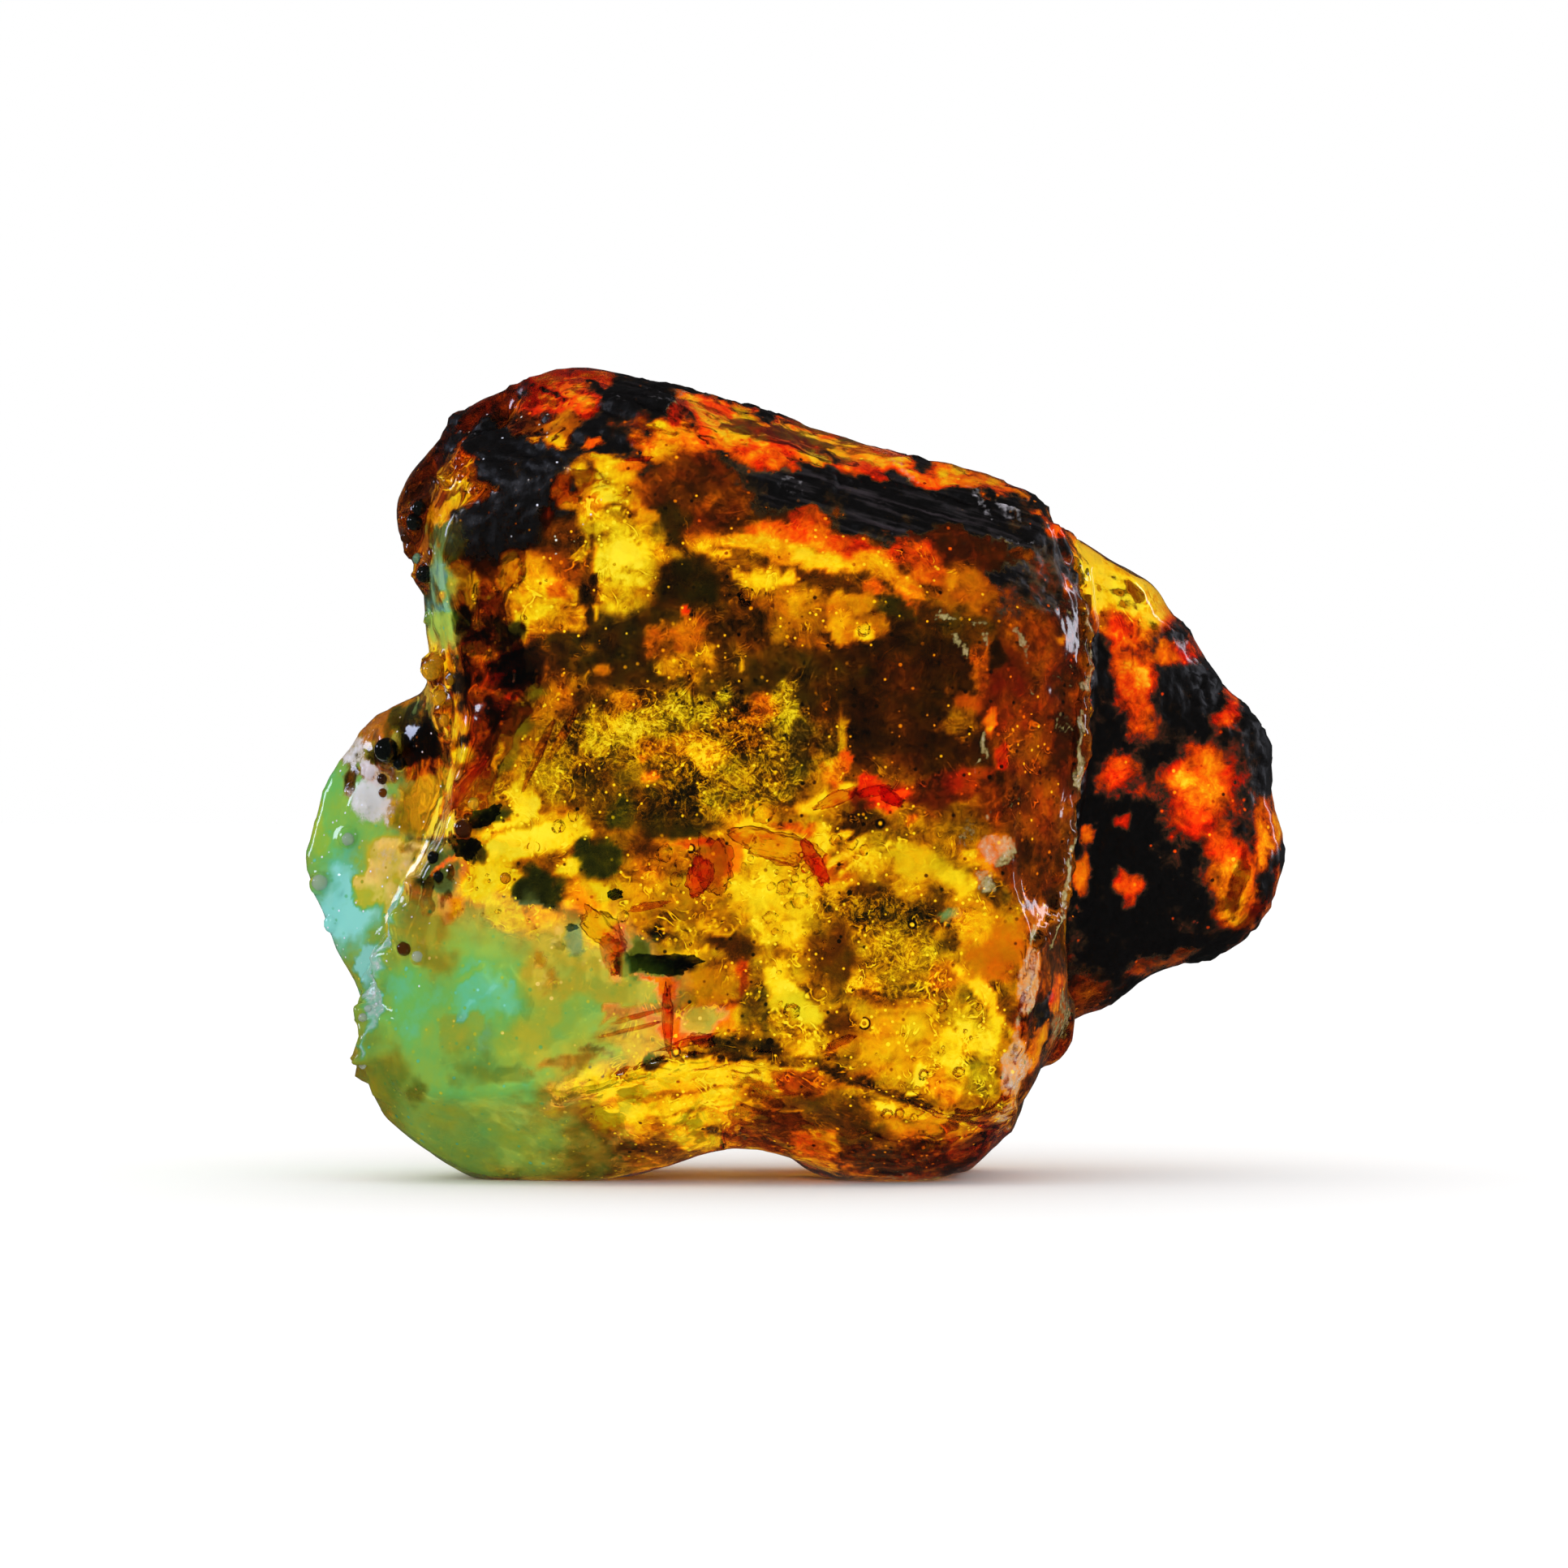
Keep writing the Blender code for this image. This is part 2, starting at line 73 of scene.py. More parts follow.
def sightLine(pixel):
    half = photoView["imageSide"] / 2
    onPlane = Vector((
        photoView["middle"][0] + (pixel[0] - half) * photoView["pixelSize"],
        photoView["planeDepth"],
        photoView["middle"][1] - (pixel[1] - half) * photoView["pixelSize"],
    ))
    return (onPlane - cameraPlace).normalized()


def makeCamera():
    data = bpy.data.cameras.new("camera")
    width = photoView["imageSide"] * photoView["pixelSize"]
    data.sensor_width = photoView["sensor"]
    data.lens = photoView["sensor"] * photoView["distance"] / width
    data.clip_start = photoView["clipStart"]
    camera = bpy.data.objects.new("camera", data)
    camera.location = cameraPlace * mm
    camera.rotation_euler = (math.radians(90), 0, 0)
    bpy.context.scene.collection.objects.link(camera)
    bpy.context.scene.camera = camera


makeCamera()
print("camera made")


# From 0 at low to 1 at high, with soft ends
def fade(value, low, high):
    share = np.clip((value - low) / (high - low), 0.0, 1.0)
    return share * share * (3 - 2 * share)


octaveFalloff = 0.9
octaveStep = 2.0    # each octave is this much finer than the last


# Fractal noise at points in mm, about -0.6 to 0.6. flatten below 1 stretches it through the depth
def roughField(points, pitch, octaves=3, shift=0.0, flatten=1.0):
    scaled = points * np.array([1.0, flatten, 1.0]) / pitch + shift
    return np.array([noise.fractal(Vector(p), octaveFalloff, octaveStep, octaves) for p in scaled])


# Pixels from each place to a line through the corners
def distanceToLine(pixels, corners):
    best = np.full(len(pixels), np.inf)
    for start, end in zip(corners, corners[1:]):
        start = np.array(start, float)
        step = np.array(end, float) - start
        share = np.clip((pixels - start) @ step / (step @ step), 0, 1)
        away = np.linalg.norm(pixels - start - share[:, None] * step, axis=1)
        best = np.minimum(best, away)
    return best


# The lump's skin: the solid's form, rounded, with a finer net of points on the clear face
skin = {
    "pitch": 0.475,          # mm between points, half of it on the face
    "roundings": (14, 2),    # before and after the face gets its finer net
    "pull": (0.55, -0.57),   # towards the neighbours and back out, so that rounding doesn't shrink the lump
    "faceTurn": -0.3,        # how far towards the front a face has to turn for the finer net
    "faceDepth": 3.0,        # mm, the finer net lies in front of it
}


def pointsAndEdges(data):
    points = np.empty(len(data.vertices) * 3)
    data.vertices.foreach_get("co", points)
    edges = np.empty(len(data.edges) * 2, int)
    data.edges.foreach_get("vertices", edges)
    return points.reshape(-1, 3) / mm, edges.reshape(-1, 2)


def roundSkin(data, rounds):
    points, edges = pointsAndEdges(data)
    ends = np.concatenate([edges[:, 0], edges[:, 1]])
    others = np.concatenate([edges[:, 1], edges[:, 0]])
    count = np.bincount(ends, minlength=len(points))[:, None]
    for factor in skin["pull"] * rounds:
        mean = np.stack([
            np.bincount(ends, weights=points[others, axis], minlength=len(points)) for axis in range(3)
        ], axis=1) / count
        points = points + (mean - points) * factor
    setPoints(data, points)


def setPoints(data, points):
    data.vertices.foreach_set("co", (points * mm).ravel())
    data.update()


def normalsOf(data):
    normals = np.empty(len(data.vertices) * 3)
    data.vertices.foreach_get("normal", normals)
    return normals.reshape(-1, 3)


def fieldOf(data, name):
    values = np.empty(len(data.vertices), np.float32)
    data.attributes[name].data.foreach_get("value", values)
    return values.astype(float)


def makeSkin():
    stone = bpy.data.objects.new("amber_lump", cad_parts["rough_amber"].data.copy())
    bpy.context.scene.collection.objects.link(stone)
    remesh = stone.modifiers.new("remesh", "REMESH")
    remesh.mode = "VOXEL"
    remesh.voxel_size = skin["pitch"] * mm
    bpy.context.view_layer.update()
    graph = bpy.context.evaluated_depsgraph_get()
    data = bpy.data.meshes.new_from_object(stone.evaluated_get(graph))
    stone.modifiers.clear()
    stone.data = data
    first, last = skin["roundings"]
    roundSkin(data, first)

    finer = bmesh.new()
    finer.from_mesh(data)
    finer.normal_update()
    onFace = {
        edge
        for face in finer.faces
        if face.normal.y < skin["faceTurn"] and face.calc_center_median().y < skin["faceDepth"] * mm
        for edge in face.edges
    }
    bmesh.ops.subdivide_edges(finer, edges=list(onFace), cuts=1, use_grid_fill=True)
    bmesh.ops.triangulate(finer, faces=[face for face in finer.faces if len(face.verts) > 4])
    finer.to_mesh(data)
    finer.free()
    roundSkin(data, last)
    return stone


stone = makeSkin()
print("skin:", len(stone.data.vertices), "points")


# What stands on and is cut into the skin. Places and lengths in photo pixels, heights in mm
drops = [
    # middle, radius, how far out of the skin its middle lies as a share of the radius
    ((518, 628), 19, 0.1), ((510, 656), 12, 0.0), ((497, 640), 11, 0.0), ((505, 680), 11, 0.0),
    ((523, 708), 15, 0.1), ((530, 684), 9, 0.1), ((520, 738), 11, 0.0), ((527, 762), 10, 0.0),
    ((519, 786), 10, 0.0), ((531, 819), 18, 0.1), ((546, 806), 9, 0.1), ((541, 855), 13, 0.1),
    ((553, 838), 9, 0.1), ((476, 925), 14, 0.2), ((492, 941), 8, 0.2), ((455, 952), 9, 0.0),
    ((429, 1032), 14, 0.1), ((392, 1088), 15, 0.0), ((417, 1100), 6, 0.1), ((407, 1140), 12, 0.0),
    ((425, 1190), 9, 0.0), ((570, 1021), 12, 0.3), ((497, 1168), 11, 0.3), ((514, 1178), 12, 0.0),
    ((552, 1075), 7, 0.2), ((533, 1060), 6, 0.2), ((459, 1245), 12, 0.1), ((458, 1320), 10, 0.1),
    ((447, 893), 8, 0.0), ((431, 972), 7, 0.0), ((585, 600), 9, 0.1), ((568, 585), 8, 0.1),
]
ridges = {
    # half width, height, corners
    "glossy welt between the turquoise lobe and the milky face": (
        11, 0.5, [(512, 1092), (500, 1118), (490, 1149), (469, 1190), (457, 1236), (461, 1276), (452, 1322)],
    ),
    "head of the welt": (20, 0.55, [(466, 1262), (461, 1292)]),
    "worn edge between the bevel and the right side": (
        10, 0.3, [(1308, 650), (1331, 700), (1343, 767), (1336, 880), (1328, 980), (1310, 1080), (1301, 1130),
                  (1283, 1160)],
    ),
    "lower step": (9, 0.2, [(1283, 1160), (1266, 1240), (1250, 1330), (1240, 1390)]),
    "lower edge of the clear window": (
        10, 0.22, [(690, 1352), (800, 1318), (900, 1300), (1028, 1312), (1123, 1347), (1160, 1366)],
    ),
    "lip of the cleft": (10, 0.35, [(548, 590), (580, 545), (612, 508)]),
}
relief = {
    # noises: pitch in mm, octaves, shift, height
    "grain": (0.6, 2, 0.0, 0.1),
    "ripples": (3.2, 2, 5.0, 0.1),
    "waves": (1.3, 2, 9.0, 0.035),
    "ridgeLumps": (1.1, 2, 3.0, 1.0),   # its height is a share of the ridge's
    "pebblePitch": 1.15,       # mm, from pebble to pebble of the crust
    "pebbleHeight": 0.2,
    "bareGrain": 0.15,         # share of the grain that is on bare resin too
    # how far the skin turns up where furrows begin and where they are full, and to the front for ridges
    "topTurn": (0.05, 0.5),
    "frontTurn": (-0.2, 0.2),
    "furrowTurn": -15.8,       # degrees, the way the furrows of the top crust run down to the right
    "furrowPitch": 1.0,        # mm
    "furrowLength": 9.0,       # mm
    "furrowFlatten": 0.6,
    "furrowDepth": 0.42,
    "arcMiddle": (590, 1240),  # what the ribs of the milky break lie round
    "arcPitch": 34,
    "arcStart": (30, 70),      # from the middle: where the ribs begin, and where they are full
    "arcEnd": (110, 210),      # and where they start to fade, and end
    "arcHeight": 0.015,
    "ridgeSway": 3,            # how far a ridge strays from its line
    "ridgeSwayPitch": 1.5,     # mm
    "dropSink": 0.35,          # share of its radius that every drop lies deeper
    "footFade": (0.15, 1.6),   # mm above the ground
    "crests": (0.08, 0.3),     # mm, what stands out this far gets a painted sheen
    "crestSheen": 0.35,
}


# Where the line of sight through a photo pixel meets the skin, in mm
def surfaceBelow(tree, pixel):
    spot, normal, _, _ = tree.ray_cast(cameraPlace * mm, sightLine(pixel))
    if spot is None:
        return None, None
    return spot / mm, normal


# Domes side by side, 0 in the gaps to 1 on top
def pebbles(points, pitch):
    heights = np.empty(len(points))
    for k, point in enumerate(points / pitch):
        near = noise.voronoi(Vector(point), distance_metric="DISTANCE")[0]
        heights[k] = near[1] - near[0]
    return np.sqrt(np.clip(heights, 0, 1))


# The colour zones, painted one over another in this order. A row holds the zone's middle and its half
# lengths across and down, in photo pixels, and its turn in degrees, rising to the right. Then come tone,
# warmth, mottle and wisp, as many as the zone sets, and last what else it sets.
# tone runs from 0, clear and light, to 1, black; warmth from 0, olive, by 0.5, gold, and 0.9, orange, to 1.3,
# red. mottle is how uneven the tone is, and wisp how much old cracks show, drawn with painted highlights
# along their edges, and how many painted glints there are. milk is clouded resin, crust the burnt skin,
# furrow the painted sheen along its furrows, and wear the frosted edges together with painted highlights and
# painted sheen. moss and froth stand in the resin, froth as bubbles with a painted bright ring, and dust lies
# on it, its bluish specks partly painted sparkles. soft is the width of the zone's edge. behind 1 keeps the
# zone to the lobe behind and 0 to what lies before it, and far 1 keeps it to the far side of the lump
everywhere = {
    "tone": 0.62, "warmth": 0.6, "milk": 0.0, "crust": 0.0, "mottle": 0.6, "dust": 0.0, "wearAndSheen": 0.0,
    "moss": 0.0, "wisp": 0.5, "froth": 0.0, "furrow": 0.0,
}
rowOrder = ("tone", "warmth", "mottle", "wisp")
window = {"crust": 0.0}                             # an opening in the crust
glow = {"behind": 1.0, "crust": 0.0, "soft": 0.7}   # one in the crust of the lobe behind
zones = {
    # wide grounds
    "middle brown": (900, 800, 330, 170, 0, 0.74, 0.55, 0.7, 0.4),
    "top crust": (790, 520, 300, 100, -12, 0.97, 0.8, {"crust": 0.85, "wisp": 0.0}),
    "furrowed crust": (1120, 628, 210, 50, -17, 0.97, 0.9, {"crust": 1.0, "wisp": 0.0, "furrow": 1.0}),
    "rim crust": (1000, 532, 330, 42, -19, 0.97, 0.9, {"crust": 1.0, "wisp": 0.0, "furrow": 0.6}),
    "corner crust": (1282, 688, 56, 84, -50, 0.93, 0.95, {"crust": 0.85, "wisp": 0.0, "furrow": 1.0}),
    "black of the left": (640, 605, 96, 92, 0, 1.0, 0.6, {"crust": 0.7, "dust": 0.3, "wisp": 0.1}),
    "black over left": (640, 535, 90, 50, 30, 0.98, 0.8, {"crust": 0.85, "dust": 0.1, "wisp": 0.0}),
    "brown of the left": (640, 810, 120, 110, 0, 0.64, 0.68, 0.9),
    "olive brown": (765, 795, 95, 62, 0, 0.84, 0.4, 0.35, 0.3),
    "deep brown": (1110, 860, 130, 125, 0, 0.86, 0.62, 0.4, 0.25),
    "lower gold": (1000, 1180, 270, 220, 0, 0.46, 0.42, 0.8, 1.0, {"froth": 0.02}),
    "bevel": (1275, 900, 62, 220, 0, 0.72, 0.85, 0.5, 0.2),
    "low side": (1285, 1250, 40, 120, -8, 0.8, 0.9, 0.8, 0.0),
    "near lobe": (430, 1020, 90, 200, 0, 0.3, 0.4, 0.3, 0.0, {"milk": 0.95, "soft": 0.6, "dust": 0.5}),
    "milky ground": (560, 1260, 130, 140, 0, 0.38, 0.5, 0.2, 0.3, {"milk": 0.95, "soft": 0.35}),
    "milky right": (710, 1245, 105, 95, 0, 0.35, 0.6, 0.3, {"milk": 0.85, "soft": 0.35}),

    # the top: red and orange where the crust is thin
    "rim brown": (600, 500, 30, 10, 40, 0.74, 0.9, window),
    "hidden rim": (700, 460, 60, 7, 8, 0.6, 1.1, {"crust": 0.1}),
    "dim orange high": (642, 502, 32, 13, 10, 0.5, 0.85, window),
    "brown in crust": (640, 520, 26, 16, 0, 0.74, 0.85, {"crust": 0.1}),
    "red patch": (700, 484, 55, 33, -4, 0.26, 1.45, 0.7, {"crust": 0.3, "soft": 0.42}),
    "red patch right": (734, 482, 14, 7, 5, 0.46, 1.3, window),
    "dim orange": (692, 528, 24, 18, 0, 0.5, 0.78, 0.4, window),
    "gold lip": (684, 545, 15, 6, -20, 0.22, 0.6, window),
    "gold lip left": (654, 545, 9, 5, 0, 0.42, 0.7, window),
    "ember": (729, 540, 10, 5, 0, 0.3, 1.05, window),
    "orange bank": (832, 545, 48, 30, -22, 0.2, 1.0, 0.9, {"crust": 0.25, "soft": 0.42}),
    "yellow in bank": (832, 558, 28, 9, -8, 0.14, 0.62, window),
    "high yellow": (812, 522, 9, 4, 15, 0.1, 0.5, window),
    "red under bank": (860, 568, 22, 9, 0, 0.5, 1.2, window),
    "dark red tail": (885, 578, 14, 9, 0, 0.66, 1.2, {"crust": 0.2}),
    "red bank high": (872, 492, 28, 10, -5, 0.34, 1.3, {"crust": 0.3, "soft": 0.42}),
    "red bank": (900, 525, 78, 27, -38, 0.2, 1.35, 0.9, {"crust": 0.3, "soft": 0.42}),
    "orange in red bank": (890, 546, 28, 9, -8, 0.22, 1.1, window),
    "yellow in red bank": (910, 529, 15, 9, -20, 0.13, 0.85, window),
    "red hem": (925, 558, 26, 9, -30, 0.42, 1.3, window),
    "end of red bank": (950, 562, 15, 15, -50, 0.32, 1.15, window),
    "lime edge": (914, 506, 15, 4, -36, 0.45, 0.3, window),
    "dark red glow": (836, 505, 9, 11, -20, 0.62, 1.3, window),
    "violet sheen": (826, 495, 10, 30, -30, {"wearAndSheen": 0.3}),
    "black rim": (772, 492, 40, 20, -8, 1.0, 0.9, {"crust": 1.0}),
    "band head": (967, 526, 15, 11, -45, 0.24, 1.25, window),
    "orange band": (1000, 540, 40, 16, -16, 0.22, 1.35, 0.9, {"crust": 0.3, "soft": 0.42}),
    "red in band": (977, 546, 13, 5, -10, 0.42, 1.3, window),
    "gold in band": (1036, 553, 27, 12, 0, 0.14, 1.0, 0.3, window),
    "orange band low": (1066, 562, 32, 20, -45, 0.2, 1.35, {"crust": 0.3, "soft": 0.42}),
    "red of band low": (1060, 578, 13, 6, 0, 0.42, 1.3, window),
    "end of band": (1087, 590, 11, 7, -20, 0.5, 1.35, window),
    "edge orange left": (1124, 582, 24, 9, -34, 0.2, 1.25, window),
    "edge orange": (1172, 582, 33, 16, 0, 0.2, 1.25, {"crust": 0.3, "soft": 0.42}),
    "yellow in edge": (1164, 584, 8, 5, 0, 0.12, 0.8),
    "yellow in edge right": (1186, 581, 7, 9, 0, 0.14, 0.8),
    "edge orange low": (1205, 597, 18, 10, -35, 0.36, 0.95, window),
    "edge orange right": (1228, 595, 37, 14, -14, 0.2, 1.15, {"crust": 0.3, "soft": 0.42}),
    "yellow in right": (1226, 594, 10, 4, 0, 0.14, 0.8),
    "edge glow": (1254, 603, 14, 7, -20, 0.34, 0.92, window),
    "tan rim": (1142, 562, 14, 4, -20, 0.5, 0.75, window | {"wearAndSheen": 0.15}),
    "corner ember": (1279, 635, 9, 6, -20, 0.42, 0.9, window),
    "corner ember low": (1300, 653, 9, 6, -50, 0.46, 1.2, window),
    "pink of corner": (1307, 645, 5, 9, 30, 0.4, 1.1, window | {"wearAndSheen": 0.3}),
    "corner red": (1316, 689, 8, 4, -45, 0.44, 1.3, window),
    "corner sliver": (1315, 721, 4, 10, 10, 0.48, 0.85, window),
    "ember by corner": (1255, 682, 12, 7, -20, 0.62, 0.9, {"crust": 0.1}),
    # painted sheen and a painted glint on the fold and the crust, drawn in frost white
    "fold bloom": (1060, 545, 50, 5, -28, {"wearAndSheen": 0.4}),
    "bloom of crust": (975, 612, 22, 18, -30, {"wearAndSheen": 0.2}),
    "spark of crust": (1150, 613, 4, 4, 0, {"wearAndSheen": 0.3}),
    "maroon": (1192, 676, 60, 26, -14, 0.78, 1.0, 0.4, {"crust": 0.1, "furrow": 0.3}),
    "light behind top": (955, 630, 115, 48, -18, 0.05, 1.0, window | {"far": 1.0, "soft": 0.6}),

    # red and golden streaks under the furrowed crust
    "maroon haze": (1000, 642, 20, 11, -10, 0.62, 1.2, window | {"wearAndSheen": 0.1}),
    "red streak left": (985, 662, 36, 13, -8, 0.36, 1.1, window),
    "yellow in streak": (1024, 673, 15, 5, -20, 0.15, 0.75, window),
    "red streak": (1050, 676, 46, 13, -14, 0.46, 1.15, window),
    "dark of streak": (1062, 680, 18, 9, 0, 0.62, 1.2),
    "orange in streak": (1084, 680, 12, 8, 0, 0.28, 0.9, window),
    "red streak right": (1130, 692, 40, 16, -22, 0.38, 1.1, 0.8, 1.0, window),
    "orange of streak": (1152, 711, 24, 10, -22, 0.3, 0.95, window),
    "golden streak": (925, 672, 62, 8, -9, 0.26, 0.62, window),
    "yellow of streak": (864, 668, 15, 7, -12, 0.08, 0.5, window),
    "gold streak": (1005, 690, 66, 8, -6, 0.26, 0.68, window),
    "gold streak low": (1105, 712, 38, 8, -34, 0.28, 0.65, window),
    "orange streak low": (1092, 732, 36, 10, -26, 0.38, 0.98),
    "orange streak end": (1158, 740, 28, 9, -18, 0.4, 0.92),
    "red thread": (1120, 752, 16, 4, -40, 0.42, 1.1),
    "dark under streak": (1015, 712, 50, 9, -12, 0.82, 0.6, 0.4),
    "dark fold": (1095, 742, 26, 10, -30, 0.82, 0.3, 0.3),
    "small gold": (880, 682, 18, 4, -10, 0.3, 0.6),
    "orange haze": (1188, 734, 34, 28, -20, 0.5, 0.68, 0.3, window),
    "gold of haze": (1170, 722, 9, 16, 0, 0.3, 0.6),

    # the left: yellow windows in black, gold and brown down to the notch
    "yellow window": (757, 606, 43, 27, -20, 0.0, 0.43, 0.7, 1.2, window | {"soft": 0.35}),
    "olive in window": (768, 604, 18, 11, -20, 0.24, 0.35),
    "core of window": (762, 616, 22, 6, -38, 0.0, 0.4),
    "top of window": (765, 582, 22, 12, -15, 0.22, 0.55, window),
    "embers on window": (788, 571, 17, 4, 3, 0.3, 1.0, window),
    "glow by window": (808, 608, 11, 17, 0, 0.44, 0.9, window),
    "brown by window": (850, 610, 60, 44, -10, 0.72, 0.85, 0.5, window),
    "ember in brown": (876, 618, 8, 12, 0, 0.5, 0.95),
    "olive shade": (825, 640, 26, 26, 0, 0.84, 0.35, 0.2),
    "tatters": (692, 606, 9, 15, 0, 0.42, 0.85, window),
    "orange under window": (716, 620, 20, 8, -18, 0.36, 0.78, window),
    "orange right of window": (790, 636, 12, 10, 0, 0.34, 0.75, window),
    "gold between": (742, 640, 30, 9, -10, 0.36, 0.6, window),
    "dark between": (765, 636, 24, 5, -18, 0.72, 0.45),
    "second window": (757, 692, 47, 48, 6, 0.12, 0.34, 0.9, 1.3, window | {"soft": 0.35}),
    "green of window": (735, 662, 22, 16, 25, 0.26, 0.24, window),
    "core of second": (782, 690, 22, 24, 0, 0.12, 0.38, {"wisp": 1.2}),
    "edge of second": (724, 704, 7, 34, -14, 0.42, 0.85),
    "foot of second": (762, 734, 42, 12, 4, 0.42, 0.5, window),
    "second window tail": (817, 684, 16, 9, 5, 0.26, 0.55, window),
    "light behind windows": (757, 690, 76, 76, 0, 0.0, 0.45, window | {"far": 1.0}),
    "dark by window": (722, 742, 11, 32, -5, 0.96, 0.6, 0.3),
    "beads of gold": (736, 757, 4, 12, 0, 0.3, 0.6),
    "dark olive": (848, 718, 42, 34, 0, 0.9, 0.3, 0.2, 0.1),
    "red dot": (845, 747, 4, 5, 0, 0.4, 1.35),
    "red spot": (675, 634, 6, 8, -10, 0.6, 1.2, {"crust": 0.1}),
    "brown haze": (690, 664, 22, 24, 0, 0.72, 0.72, window),
    "yellow blob": (565, 602, 20, 20, 0, 0.2, 0.5, window | {"dust": 0.0}),
    "gold of blob": (598, 600, 12, 18, 0, 0.38, 0.58, window),
    "orange of blob": (570, 570, 8, 20, -10, 0.34, 0.9, window),
    "edge glow left": (545, 641, 10, 26, 10, 0.38, 0.7, window),
    "teal shade": (556, 660, 18, 22, 0, 0.86, 0.0, {"milk": 0.3}),
    "teal rim": (541, 722, 13, 40, 0, 0.6, 0.0, window | {"milk": 0.7}),
    "gold in teal": (541, 738, 9, 8, 0, 0.35, 0.6, {"milk": 0.2}),
    "pale green rim": (546, 778, 16, 16, 0, 0.3, 0.5, window | {"milk": 0.85}),
    "brown over patch": (688, 706, 30, 20, -20, 0.62, 0.8, 0.4, window),
    "gold patch high": (644, 706, 22, 26, 15, 0.26, 0.55, window | {"wisp": 1.2}),
    "gold patch": (672, 738, 34, 24, 0, 0.14, 0.5, 0.7, 1.2, window),
    "orange of patch": (690, 734, 15, 11, 0, 0.4, 0.92),
    "gold patch low": (684, 765, 34, 16, 15, 0.42, 0.6, 1.0),
    "yellow tooth": (640, 772, 9, 20, 10, 0.2, 0.42),
    "gold dot": (575, 732, 18, 24, 0, 0.24, 0.6, window),
    "core of dot": (583, 740, 8, 17, -8, 0.04, 0.46),
    "gold dot high": (566, 702, 10, 8, 0, 0.3, 0.6, window),
    "orange dot": (606, 746, 11, 14, 0, 0.4, 0.9, window),
    "black under dot": (573, 765, 14, 13, 0, 0.95, 0.5),
    "gold knob": (588, 770, 7, 10, 0, 0.28, 0.6),
    "green shade": (618, 775, 26, 14, 0, 0.78, 0.12, 0.3),
    "gold ledge": (577, 799, 34, 8, 4, 0.2, 0.5, 0.9),
    "gold under ledge": (605, 814, 20, 18, 0, 0.3, 0.62, 0.6),
    "orange under ledge": (592, 842, 15, 24, 0, 0.44, 0.85, 0.8),
    "orange lower": (593, 882, 11, 20, -10, 0.36, 0.72),
    "brown of notch": (575, 890, 22, 34, 0, 0.52, 0.8, 1.0),
    "black of notch": (562, 843, 15, 12, 0, 0.97, 0.7, 0.3),
    "black below notch": (565, 868, 10, 6, 0, 0.85, 0.7),
    "black hollow": (645, 822, 38, 26, 10, 0.97, 0.8, 0.3, 0.1),
    "red of hollow": (620, 833, 12, 6, 20, 0.6, 1.2),
    "red under hollow": (632, 856, 16, 5, 5, 0.5, 1.2),
    "dark post": (611, 882, 10, 40, 22, 0.92, 0.75, 0.4),
    "gold rim": (532, 815, 16, 22, 0, 0.2, 0.66, 0.3),
    "gold rim low": (541, 862, 17, 18, 0, 0.14, 0.55, 0.3),
    "gold rim foot": (548, 900, 17, 24, 0, 0.3, 0.6, 0.8),
    "black slit": (570, 915, 7, 12, -10, 0.95, 0.7),
    "diagonal band": (678, 888, 74, 14, 60, 0.56, 0.62, 0.6, 1.0),
    "green blade": (628, 915, 62, 18, 70, 0.6, 0.16, 0.25, 0.2),
    "light of blade": (606, 945, 26, 5, 66, 0.22, 0.3),
    "orange ring left": (743, 828, 12, 9, 0, 0.45, 0.6),

    # the near lobe: pale green and turquoise with a brown head
    "gold of head": (482, 870, 30, 14, 25, 0.28, 0.6, {"milk": 0.35}),
    "brown of head": (462, 892, 26, 26, 0, 0.42, 0.75, {"milk": 0.25, "wearAndSheen": 0.35, "dust": 0.3}),
    "pale of head": (432, 925, 18, 16, 0, 0.3, {"wearAndSheen": 0.85, "milk": 0.5, "far": 0.0}),
    "green of head": (502, 886, 22, 14, 20, 0.82, 0.1, {"milk": 0.2, "wearAndSheen": 0.0}),
    "black of head": (510, 912, 26, 26, 0, 0.98, 0.3, {"milk": 0.0, "wearAndSheen": 0.0}),
    "black by notch": (510, 934, 42, 14, 0, 0.97, 0.6, {"milk": 0.0, "wearAndSheen": 0.0}),
    "black under drop": (478, 935, 20, 22, 0, 0.9, 0.4, {"milk": 0.1, "wearAndSheen": 0.1}),
    "brown under head": (470, 955, 26, 12, 0, 0.6, 0.7, {"milk": 0.2, "wearAndSheen": 0.45}),
    "orange under head": (525, 952, 32, 11, 12, 0.42, 0.78, 1.0, {"milk": 0.0}),
    # painted lilac white highlights on the near lobe, drawn in frost white
    "lilac bloom": (454, 984, 26, 30, -20, 0.4, {"wearAndSheen": 1.0, "soft": 0.6, "far": 0.0}),
    "bloom above": (452, 948, 10, 9, 0, {"wearAndSheen": 1.0}),
    "bloom below": (478, 1005, 12, 16, 0, {"wearAndSheen": 0.95, "milk": 0.8, "warmth": 0.8, "far": 0.0}),
    "leaf green": (408, 985, 20, 46, 10, 0.3, 0.4, 0.2, {"milk": 1.0, "dust": 0.2}),
    "olive spot": (429, 962, 8, 18, 0, 0.6, 0.35, {"milk": 0.1}),
    "pale green": (425, 1025, 48, 30, 0, 0.3, 0.44, 0.2, {"milk": 1.0, "dust": 0.6}),
    "beige edge": (394, 1020, 10, 34, 0, {"warmth": 0.6, "milk": 1.0, "wearAndSheen": 0.2}),
    "clear yellow": (522, 988, 44, 28, 26, 0.0, 0.5, 0.3, {"milk": 0.15, "wearAndSheen": 0.0}),
    "clear yellow low": (522, 1014, 42, 16, 4, 0.0, 0.46, 0.2, {"milk": 0.15}),
